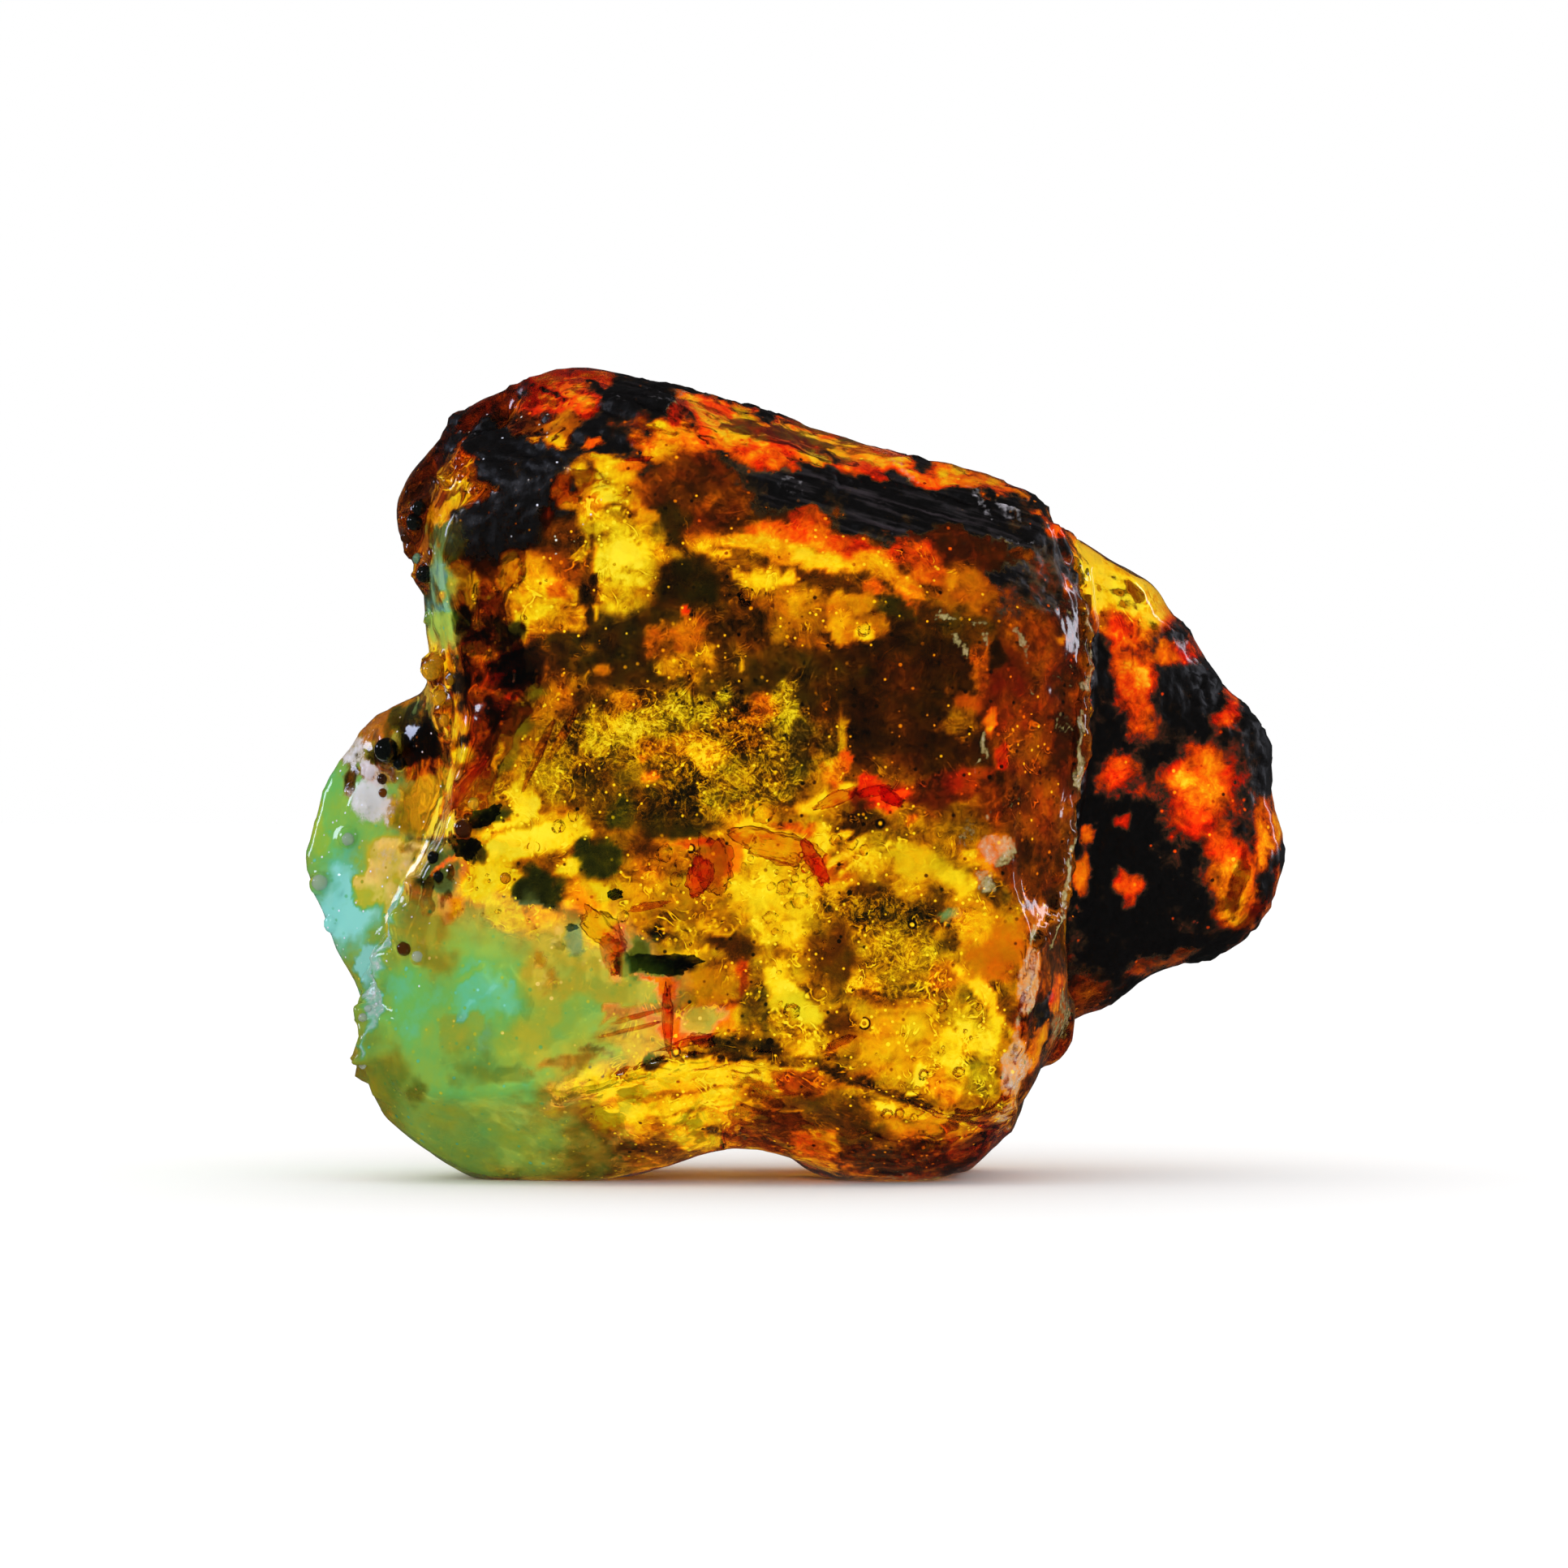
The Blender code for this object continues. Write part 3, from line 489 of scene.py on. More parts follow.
    "shadow of rim": (530, 1034, 42, 4, 6, 0.66, 0.15, {"milk": 0.0}),
    "splinter": (568, 975, 36, 10, 50, 0.68, 0.9, 0.5),
    "red of splinter": (578, 962, 18, 13, 55, 0.44, 0.8, 0.5),
    "red over splinter": (590, 935, 10, 20, 10, 0.5, 0.8),
    "yellow by splinter": (566, 930, 12, 9, -20, 0.12, 0.4),
    "gold of lobe": (484, 1060, 42, 30, 0, 0.2, 0.86, {"milk": 0.8}),
    "gold low of lobe": (510, 1095, 20, 14, 0, 0.3, 0.75, {"milk": 0.6}),
    "brown of lobe": (500, 1046, 22, 6, 5, 0.6, 0.7, {"milk": 0.3}),
    "turquoise": (428, 1118, 42, 62, -28, 0.3, -0.05, 0.2,
        {"milk": 1.0, "soft": 0.5, "dust": 0.6, "wearAndSheen": 0.0}),
    "pale wedge": (462, 1092, 18, 30, -40, {"warmth": 0.72, "milk": 0.95, "dust": 0.6}),
    "deep teal": (452, 1200, 16, 32, -20, 0.4, -0.1, {"milk": 0.9}),
    "beige by welt": (482, 1130, 14, 26, 0, {"warmth": 0.7, "milk": 0.9}),
    "gold heart of lobe": (474, 1066, 34, 24, -10, 0.12, 0.82, {"milk": 0.75, "soft": 0.5, "wearAndSheen": 0.36}),
    "light behind lobe": (508, 1020, 64, 62, -30, 0.0, 0.55, {"far": 1.0, "milk": 0.25, "wearAndSheen": 0.0}),

    # bright yellow and gold above the milky corner
    "glassy gold": (590, 985, 30, 26, 0, 0.26, 0.5, 0.5, 1.0),
    "olive glass": (625, 985, 22, 20, 0, 0.44, 0.45, 0.6, 1.0),
    "bright yellow": (634, 1034, 58, 27, 14, 0.03, 0.36, 0.3, 1.2, {"milk": 0.0, "froth": 0.02}),
    "yellow spike": (648, 985, 15, 30, -12, 0.05, 0.34, 0.3),
    "bright tail": (700, 1022, 34, 22, 10, 0.1, 0.36, 0.5, 1.0),
    "gold field": (602, 1084, 46, 28, -25, 0.13, 0.52, 0.4, 1.4, {"milk": 0.0, "froth": 0.02}),
    "sparkle bank": (634, 1130, 36, 17, -28, 0.14, 0.5, 1.0, 1.6, {"milk": 0.1}),
    "dark square": (540, 1070, 22, 25, -30, 0.88, 0.1, {"milk": 0.1, "dust": 0.6}),
    "orange below square": (548, 1116, 18, 14, 0, 0.34, 0.8, {"milk": 0.0}),
    "brown below square": (527, 1108, 14, 14, 0, 0.5, 0.68, {"milk": 0.2}),
    "green wedge": (606, 1007, 26, 8, 20, 0.74, 0.0, 0.2),
    "green drop": (581, 1050, 12, 16, 0, 0.76, 0.02, 0.2),
    "orange by drop": (571, 1066, 8, 12, 0, 0.4, 0.7),
    "green clump": (668, 1093, 32, 27, 5, 0.88, -0.1, 0.25, 0.2, {"froth": 0.0, "soft": 0.2}),
    "green clump right": (738, 1060, 27, 24, 0, 0.84, -0.1, 0.3, 0.2, {"soft": 0.25}),
    "yellow between": (705, 1068, 14, 12, 20, 0.12, 0.3),
    "orange plane": (722, 1104, 22, 26, 20, 0.24, 0.72, 0.4),
    "yellow plane": (742, 1106, 12, 18, 20, 0.12, 0.5, 0.3),
    "orange foot": (672, 1136, 34, 12, -12, 0.26, 0.66, 0.6),

    # the milky corner
    "olive of corner": (532, 1165, 24, 44, 10, 0.5, 0.65, 0.3, {"milk": 0.7, "soft": 0.5}),
    "green heart": (598, 1226, 50, 40, -10, 0.4, 0.24, {"milk": 1.0, "soft": 0.5}),
    "green of left": (505, 1240, 28, 50, 0, {"warmth": 0.34, "milk": 1.0, "soft": 0.5}),
    "green band": (600, 1340, 70, 24, 0, {"warmth": 0.4, "milk": 1.0, "soft": 0.5}),
    "hidden foot": (585, 1410, 130, 50, 0, 0.35, 0.48, {"milk": 0.85, "soft": 0.5}),
    "olive haze": (575, 1275, 30, 20, 0, {"warmth": 0.56, "milk": 0.85}),
    "teal streak": (602, 1290, 9, 28, 5, 0.4, 0.34, {"milk": 0.8, "soft": 0.6}),
    "olive blot": (578, 1318, 27, 22, -20, 0.6, 0.5, {"milk": 0.85, "soft": 0.6}),
    "olive tail": (632, 1324, 26, 9, 0, 0.6, 0.5, {"milk": 0.8}),
    "olive corner": (478, 1335, 26, 40, -20, 0.58, 0.6, 0.5, {"milk": 0.75, "soft": 0.6}),
    "dark of corner": (513, 1342, 14, 14, 0, 0.66, 0.6, {"milk": 0.7, "soft": 0.6}),
    "yellow green": (700, 1185, 50, 44, 0, 0.34, 0.7, 0.5, {"milk": 0.7}),
    "green by tongue": (712, 1152, 11, 22, 15, 0.5, 0.15, {"milk": 0.3}),
    "golden lump": (680, 1208, 9, 13, -15, 0.16, 0.56, {"milk": 0.1, "wisp": 1.6}),
    "golden lump high": (668, 1178, 7, 14, 25, 0.2, 0.55, {"milk": 0.1}),
    "lime plain": (745, 1222, 60, 26, 0, 0.4, 0.66, {"milk": 0.75}),
    "green plain": (715, 1255, 26, 24, 0, {"warmth": 0.48, "milk": 0.9}),
    "brown stripe": (700, 1310, 40, 8, 14, 0.46, 0.62, {"milk": 0.2}),
    "lime slabs": (790, 1270, 44, 30, 20, 0.3, 0.55, 0.4, 1.0, {"milk": 0.35}),

    # the middle: moss, slabs, orange flakes
    "gold wisps": (848, 812, 36, 24, 0, 0.34, 0.56, 1.0, 1.0),
    "brown wisps": (838, 782, 34, 18, 20, 0.52, 0.75, 0.6),
    "gold wisps foot": (880, 838, 20, 14, -20, 0.42, 0.55),
    "dark olive right": (950, 835, 90, 34, 0, 0.78, 0.4, 0.4, 0.6),
    "gold island": (948, 717, 34, 13, 4, 0.2, 0.46, 0.6, 1.0),
    "gold under island": (975, 740, 50, 16, 0, 0.52, 0.6, 0.6, 1.0),
    "gold haze": (985, 772, 36, 20, 8, 0.56, 0.6, 0.5, 1.0),
    "gold post": (1033, 765, 10, 34, 3, 0.33, 0.56, 0.3),
    "head of post": (1056, 740, 28, 13, 5, 0.44, 0.6, 0.4),
    "haze of post": (1064, 770, 18, 26, 0, 0.48, 0.6),
    "drop by post": (1065, 776, 8, 11, 10, 0.05, 0.48),
    "gold drop": (913, 818, 4, 5, 0, 0.25, 0.65),
    "moss left": (692, 945, 50, 46, 30, 0.44, 0.3, 0.5, 1.0, {"moss": 0.6}),
    "moss": (850, 930, 170, 78, 0, 0.66, 0.38, 0.6, 1.0, {"moss": 1.0}),
    "moss bright": (740, 912, 24, 38, 5, 0.32, 0.25, 0.6, 1.6, {"moss": 1.0}),
    "moss crest": (785, 893, 48, 18, 10, 0.34, 0.24, 0.6, 1.2, {"moss": 1.0}),
    "moss crest right": (850, 868, 44, 20, 14, 0.44, 0.22, 0.6, 1.2, {"moss": 1.0}),
    "gold in moss": (825, 918, 40, 16, 8, 0.46, 0.62, 0.8, 1.0),
    "gold in moss right": (876, 930, 28, 16, 8, 0.36, 0.6, 0.6, 1.0),
    "olive under moss": (760, 975, 60, 30, 0, 0.66, 0.38, 0.4, {"moss": 0.4}),
    "moss post": (968, 895, 16, 46, 0, 0.36, 0.22, 0.6, 1.2, {"moss": 1.0}),
    "moss right of post": (945, 950, 56, 40, 0, 0.54, 0.28, 0.5, 1.2, {"moss": 1.0}),
    "brown of moss": (912, 905, 26, 18, -20, 0.66, 0.6, 0.5),
    "orange wreath": (926, 877, 26, 16, -22, 0.48, 0.8, 0.5),
    "hole of wreath": (915, 873, 6, 7, 0, 0.9, 0.5),
    "dark in moss": (990, 925, 18, 34, 0, 0.76, 0.3, 0.4, {"moss": 0.5}),
    "gold strand": (1036, 905, 6, 40, 0, 0.36, 0.42, 0.4),
    "orange knoll": (776, 866, 18, 12, 0, 0.52, 0.7, 0.4),
    "orange fleck": (801, 957, 9, 5, 5, 0.3, 0.95),
    "orange fleck left": (788, 936, 7, 4, 0, 0.36, 0.8),
    "orange fleck low": (800, 1001, 6, 5, 0, 0.4, 1.0),
    "olive well": (826, 1010, 50, 36, 0, 0.82, 0.32, 0.2, 0.3),
    "green well": (765, 1005, 18, 24, 0, 0.76, 0.1, 0.2),
    "moss foot": (905, 985, 34, 20, 0, 0.5, 0.28, {"moss": 1.0, "wisp": 1.2}),
    "orange flame": (1026, 955, 16, 18, 0, 0.38, 0.88),
    "red flame": (1039, 938, 8, 14, 0, 0.42, 1.1),
    "gold tongue": (1012, 986, 34, 11, 16, 0.14, 0.52, 0.3),
    "head of tongue": (1041, 979, 13, 11, 0, 0.06, 0.46, 0.2),
    "end of tongue": (990, 999, 36, 6, 6, 0.1, 0.45, 0.3),
    "red shade": (1140, 975, 56, 20, 0, 0.76, 1.1, 0.4),
    "dark red": (1062, 992, 16, 20, 0, 0.64, 1.2, 0.3),
    "red spot high": (1071, 967, 13, 10, -30, 0.42, 1.35, 0.4),
    "red spot right": (1100, 980, 28, 8, 4, 0.38, 1.35, 0.3),
    "red spot foot": (1094, 993, 14, 8, 0, 0.46, 1.2),
    "ring bank": (822, 1056, 44, 22, 0, 0.5, 0.62, 0.8, 1.0),
    "rings": (925, 1008, 46, 16, 0, 0.4, 0.5, 0.8, 1.2),
    "gold ball": (940, 1000, 15, 11, 0, 0.22, 0.58, 0.1),
    "orange swirl": (948, 1042, 56, 24, -6, 0.14, 0.58, 0.4, 0.6),
    "orange of swirl": (988, 1046, 28, 13, -38, 0.2, 0.75, 0.4),
    "red of swirl": (985, 1022, 44, 7, -12, 0.5, 1.05),
    "end of swirl": (1012, 1062, 9, 24, 0, 0.46, 1.05),
    "brown chip": (882, 1062, 24, 33, -8, 0.52, 0.56, 0.3, 0.1),
    "light of chip": (862, 1080, 11, 19, -14, 0.34, 0.7, 0.3),
    "red by chip": (850, 1040, 20, 6, 0, 0.44, 1.1),
    "strand by chip": (904, 1066, 7, 30, -12, 0.38, 0.85),
    "olive slab": (850, 1118, 66, 20, -4, 0.5, 0.44, 0.3),
    "brown slab": (890, 1136, 30, 16, 0, 0.54, 0.55, 0.4, 1.0),
    "dark gap": (902, 1166, 30, 22, 0, 0.8, 0.6, 0.3, 0.2, {"soft": 0.6}),
    "low slab": (845, 1174, 44, 11, 0, 0.4, 0.3, 0.3),
    "dark below slab": (833, 1192, 38, 13, 0, 0.94, 0.2, 0.2),
    "gold slab": (880, 1214, 40, 25, 0, 0.46, 0.52, 0.2, 0.3),
    "edge of gold slab": (917, 1210, 8, 26, 8, 0.6, 1.05),
    "foot of gold slab": (898, 1240, 24, 5, 20, 0.74, 0.85),
    "olive gap": (935, 1240, 20, 40, 0, 0.66, 0.25, 0.6, 1.2),
    "yellow slab": (955, 1100, 46, 34, 0, 0.16, 0.36, 0.4, 1.0),
    "bright of slab": (985, 1095, 22, 26, -10, 0.14, 0.4, 0.8, 1.6),
    "yellow column": (962, 1152, 30, 20, -10, 0.08, 0.4, 0.8, 1.6),
    "column shade": (975, 1185, 30, 20, 0, 0.36, 0.4, 0.6, 1.0),
    "column foot": (960, 1206, 13, 26, -8, 0.04, 0.42, 0.5, 1.6),
    "column toe": (974, 1226, 16, 12, -20, 0.0, 0.28, 0.3),
    "pale slab": (988, 1244, 34, 15, -24, 0.16, 0.1, 0.2, {"milk": 0.0}),
    "brown spot": (1036, 1076, 18, 18, 0, 0.58, 0.85, 0.5),
    "strand fan": (1062, 1055, 42, 15, -38, 0.34, 0.45, 0.9, 1.6),
    "strand head": (1018, 1036, 12, 14, 0, 0.16, 0.5, 0.8, 1.6),
    "dark by fan": (1070, 1102, 36, 16, 0, 0.8, 0.4, 0.5),
    "dark above slab": (1060, 1015, 34, 16, 0, 0.8, 0.5, 0.5, 1.0),
    "orange ticks": (1122, 1012, 10, 10, 0, 0.5, 0.95, 1.2),
    "brown well": (1032, 1182, 34, 36, 0, 0.72, 0.5, 0.3, 0.4, {"soft": 0.7}),
    "moss right": (1100, 1122, 84, 28, -5, 0.7, 0.4, 0.6, 1.2, {"moss": 1.0}),
    "moss right lit": (1110, 1176, 58, 28, 0, 0.42, 0.32, 0.5, 1.2, {"moss": 0.8}),
    "moss right low": (1115, 1218, 60, 14, 0, 0.5, 0.36, 0.6, 1.2, {"moss": 0.8}),
    "teal speck": (1165, 1124, 12, 11, 0, 0.56, 0.1, {"milk": 0.35}),
    "dark by honey": (1172, 1158, 18, 14, 0, 0.76, 0.45, 0.6),
    "wisp knot": (1060, 1216, 16, 18, 0, 0.22, 0.5, 0.9, 1.6),
    "long pale slab": (1138, 1066, 46, 18, -20, 0.28, 0.3, 0.2, 0.2),
    "end of pale slab": (1178, 1086, 24, 16, -25, 0.14, 0.38, 0.3),
    "orange frame": (862, 1262, 46, 22, 10, 0.34, 0.95, 0.4, {"milk": 0.0}),
    "slab in frame": (866, 1256, 26, 11, 12, 0.36, 0.6, 0.2, {"milk": 0.55}),
    "orange post": (822, 1240, 10, 30, 4, 0.36, 1.0, {"milk": 0.0}),
    "orange knot": (833, 1280, 17, 16, 0, 0.3, 1.0, {"milk": 0.0}),
    "orange rung": (780, 1249, 44, 5, 13, 0.44, 0.8, {"milk": 0.1}),
    "dark rung": (888, 1290, 34, 8, 4, 0.8, 0.35),
    "rung end": (806, 1322, 18, 8, 14, 0.44, 1.05),
    "orange tongue": (742, 1145, 34, 19, -42, 0.03, 0.58, 0.3, {"milk": 0.0}),
    "red of tongue": (768, 1160, 17, 12, -24, 0.48, 1.1, 0.3),
    "loop of tongue": (764, 1186, 15, 19, 0, 0.28, 0.8, {"milk": 0.0}),
    "black by loop": (789, 1182, 13, 26, -5, 0.95, 0.5, 0.3),
    "wreath": (812, 1146, 30, 17, 0, 0.4, 0.42, 1.0, 1.6),
    "dark in wreath": (828, 1152, 18, 8, 0, 0.74, 0.4),
    "olive field": (785, 1118, 36, 22, 0, 0.42, 0.5, 0.4),
    "low stripe": (800, 1206, 22, 5, -12, 0.4, 0.95, {"milk": 0.0}),

    # the strip over the foot
    "dark strip": (950, 1294, 90, 9, -4, 0.76, 0.34, 0.6),
    "gold strands": (985, 1276, 40, 16, -34, 0.26, 0.45, 0.9, 1.6),
    "brown wedge": (1032, 1262, 20, 24, 0, 0.76, 0.55, 0.3),
    "orange sprig": (1034, 1290, 15, 7, 26, 0.34, 0.98),

    # the right: honey, gold with glints, bevel
    "deep bevel": (1240, 845, 34, 54, 0, 0.74, 1.08, 0.3),
    "brown by web": (1185, 776, 26, 18, 0, 0.72, 0.4, 0.4, {"wearAndSheen": 0.12}),
    "black by web": (1228, 806, 16, 16, 0, 0.92, 0.6),
    "brown over bevel": (1262, 775, 20, 18, 0, 0.64, 0.82, 0.6),
    "orange of bevel top": (1206, 822, 11, 26, 0, 0.5, 0.82, 0.8),
    "orange of bevel": (1196, 866, 26, 12, -18, 0.54, 0.92, 0.3),
    "spark of bevel": (1221, 884, 7, 22, -12, 0.24, 1.0, 0.3),
    "core of spark": (1221, 896, 5, 5, 0, 0.1, 0.7),
    "red of bevel": (1268, 888, 40, 34, 0, 0.64, 1.0, 0.4),
    "orange low in bevel": (1272, 960, 28, 74, 4, 0.6, 0.8, 0.4, 0.8),
    # the bevel's edge: dark maroon with a painted grey sheen
    "grey of bevel": (1312, 830, 14, 90, -3, 0.8, 0.95, 0.4, {"wearAndSheen": 0.22}),
    "dark edge of bevel": (1316, 940, 12, 60, 2, 0.82, 0.95, 0.4),
    "gold of bevel top": (1308, 788, 12, 7, 0, 0.44, 0.7),
    "gold scratches": (1180, 894, 22, 20, -40, 0.62, 0.55, 0.8, 1.2),
    "red by bubbles": (1195, 964, 34, 16, 0, 0.6, 1.12, 0.3),
    "red gleam": (1232, 934, 8, 12, 0, 0.55, 1.3),
    "black bubble": (1229, 957, 10, 9, 0, 0.95, 0.6, {"wearAndSheen": 0.1}),
    "brown bubbles": (1228, 992, 30, 28, 0, 0.76, 0.92, 0.7, {"wearAndSheen": 0.2}),
    "grey bubble": (1218, 1010, 8, 9, 0, 0.55, {"wearAndSheen": 0.5}),
    "grey haze": (1190, 1034, 9, 30, -8, 0.56, 0.45, {"wearAndSheen": 0.3}),
    "violet chip": (1227, 1047, 19, 20, 30, 0.42, 0.9, 0.2, {"wearAndSheen": 0.55}),
    "violet chip low": (1213, 1086, 9, 14, 35, 0.46, 0.75, {"wearAndSheen": 0.48}),
    "gold by chip": (1198, 1054, 13, 12, 0, 0.16, 0.56, 0.6),
    "gold stroke by chip": (1216, 1068, 22, 7, -40, 0.24, 0.7),
    "brown of bevel": (1268, 1078, 32, 38, 20, 0.8, 0.8, 0.5),
    "olive of bevel": (1226, 1098, 18, 16, 0, 0.66, 0.42),
    "orange foot of bevel": (1266, 1128, 28, 14, 10, 0.5, 0.8, 0.4),
    "honey plane": (1228, 1176, 36, 42, -30, 0.46, 0.66, 0.12, 0.1),
    "honey left": (1196, 1140, 20, 34, 10, 0.36, 0.55, 0.5),
    "honey low": (1172, 1204, 22, 16, 0, 0.42, 0.68, 0.4),
    "right gold": (1120, 1276, 74, 46, 0, 0.3, 0.5, 0.35, 0.8),
    "lit gold": (1186, 1294, 40, 30, 10, 0.1, 0.44, 0.9, 2.0),
    "lit gold high": (1200, 1258, 20, 20, 0, 0.18, 0.36, 1.0, 1.6),
    "dark by stroke": (1194, 1227, 16, 12, 0, 0.58, 0.25, 0.7),
    "dark over stroke": (1234, 1222, 18, 6, -40, 0.62, 0.4),
    "yellow stroke": (1215, 1232, 48, 8, -50, 0.08, 0.52, 0.3),
    "brown edge of gold": (1078, 1230, 50, 6, -14, 0.54, 0.6),
    "orange by glints": (1166, 1336, 18, 18, 0, 0.3, 0.66),
    "olive in gold": (1214, 1334, 18, 32, 15, 0.48, 0.26, 0.8, 1.4),
    "olive in gold low": (1188, 1378, 30, 14, 0, 0.46, 0.3, 0.8, 1.2),
    "glint": (1137, 1322, 5, 13, 0, -0.2, 0.3, 0.0),
    "glint low": (1124, 1347, 10, 4, 0, -0.2, 0.3, 0.0),
    "brown right foot": (1222, 1396, 24, 24, 30, 0.7, 0.88, 0.5),
    "dark of low side": (1288, 1262, 16, 34, -12, 0.94, 0.9, {"crust": 0.6}),
    "red of low side": (1304, 1222, 8, 22, -8, 0.52, 1.15, {"wearAndSheen": 0.1}),
    "orange of low side": (1272, 1300, 9, 52, -24, 0.42, 0.82),
    "grey of low side": (1308, 1260, 7, 44, -8, 0.7, {"wearAndSheen": 0.4}),
    "frosted strip high": (1264, 1212, 9, 56, -10, 0.4, 0.7, 0.3, {"wearAndSheen": 0.55}),
    "frosted strip": (1247, 1322, 15, 66, -8, 0.38, 0.7, 0.4, {"wearAndSheen": 0.58}),

    # the foot
    "honey foot": (850, 1344, 150, 42, 2, 0.13, 0.52, 0.6, 1.2, {"milk": 0.0}),
    "bright foot": (850, 1362, 90, 14, 3, 0.1, 0.5, 0.6, 1.4),
    "gold foot low": (850, 1395, 80, 14, -6, 0.26, 0.6, 0.7),
    "brown foot": (1020, 1376, 110, 34, -4, 0.7, 0.5, 0.35, 0.3),
    "red of foot": (985, 1334, 42, 12, 0, 0.58, 0.9, 0.5),
    "brown facet": (1036, 1330, 38, 11, 14, 0.48, 0.68, 0.6),
    "dark wedge": (1082, 1338, 44, 7, -26, 0.84, 0.5),
    "gold by wedge": (1110, 1366, 42, 12, -8, 0.32, 0.6, 0.8, 1.0),
    "glint of foot": (1093, 1368, 9, 6, 0, -0.2, 0.3, 0.0),
    "orange of foot": (1140, 1392, 56, 13, -6, 0.42, 0.66, 0.4),
    "dark edge of foot": (1100, 1436, 150, 22, 4, 0.82, 0.7, 0.6, {"crust": 0.3}),
    "gold in foot": (1000, 1412, 44, 16, -8, 0.42, 0.7, 0.5),
    "gold under foot": (1004, 1432, 24, 6, -14, 0.34, 0.62),
    "brown end of foot": (1190, 1414, 34, 12, 10, 0.6, 0.85),
    "grey hem": (1110, 1452, 110, 7, 2, 0.6, {"wearAndSheen": 0.35}),
    "grey under foot": (925, 1400, 36, 7, -10, 0.66, 0.6, {"wearAndSheen": 0.2}),

    # the far lobe: windows in black, yellow inside and red at their edges
    "far lobe": (1450, 940, 190, 330, 0, 0.99, 1.1, 0.6, 0.0,
        {"behind": 1.0, "crust": 1.0, "wearAndSheen": 0.0, "milk": 0.0}),
    "far glow": (1400, 870, 50, 130, 8, 0.95, {"behind": 1.0, "crust": 0.95, "soft": 0.8}),
    "far glow low": (1490, 1020, 80, 90, 0, 0.92, {"behind": 1.0, "crust": 0.8, "soft": 0.8}),
    "orange top": (1382, 706, 70, 46, -34, 0.22, 1.1, 0.4, window | {"behind": 1.0, "soft": 0.5}),
    "yellow top": (1374, 730, 52, 34, -36, 0.02, 0.52, 1.0, 1.0, window | {"behind": 1.0, "soft": 0.6}),
    "gold top right": (1424, 742, 24, 14, -30, 0.2, 0.7, window | {"behind": 1.0, "soft": 0.6}),
    "fringe": (1380, 772, 14, 16, 0, 0.44, 1.2, glow),
    "long window": (1394, 842, 19, 48, 10, 0.34, 1.12, 1.0, glow),
    "round window": (1438, 810, 14, 14, 0, 0.3, 0.92, 0.8, glow),
    "mid window": (1377, 955, 20, 27, 10, 0.36, 1.12, 0.9, glow),
    "small window": (1383, 1014, 9, 9, 0, 0.42, 1.3, glow),
    "wide window": (1480, 980, 40, 44, -15, 0.4, 1.2, 0.9, glow),
    "core of wide window": (1478, 968, 24, 28, 0, 0.2, 1.05, glow),
    "low window": (1522, 1090, 26, 42, 8, 0.34, 0.95, 1.0, glow),
    "gold of low window": (1520, 1108, 16, 20, 0, 0.24, 0.65, glow),
    "bridge": (1502, 1040, 24, 14, -40, 0.46, 1.2, glow),
    "outer window": (1562, 1030, 16, 32, 0, 0.38, 0.85, 0.9, glow),
    "high ember": (1472, 800, 16, 16, -40, 0.62, 1.25, 0.9, {"behind": 1.0, "crust": 0.1, "soft": 0.8}),
    "side ember": (1518, 868, 12, 22, -30, 0.46, 1.25, 0.9, glow),
    "sliver": (1331, 1075, 9, 34, -6, 0.28, 0.95, window | {"behind": 1.0, "soft": 0.5}),
    "low spot": (1388, 1092, 13, 17, -30, 0.36, 1.1, 0.8, glow),
    "brown hem": (1428, 1182, 40, 10, 10, 0.68, 0.85, {"behind": 1.0, "crust": 0.2, "soft": 0.7}),
}
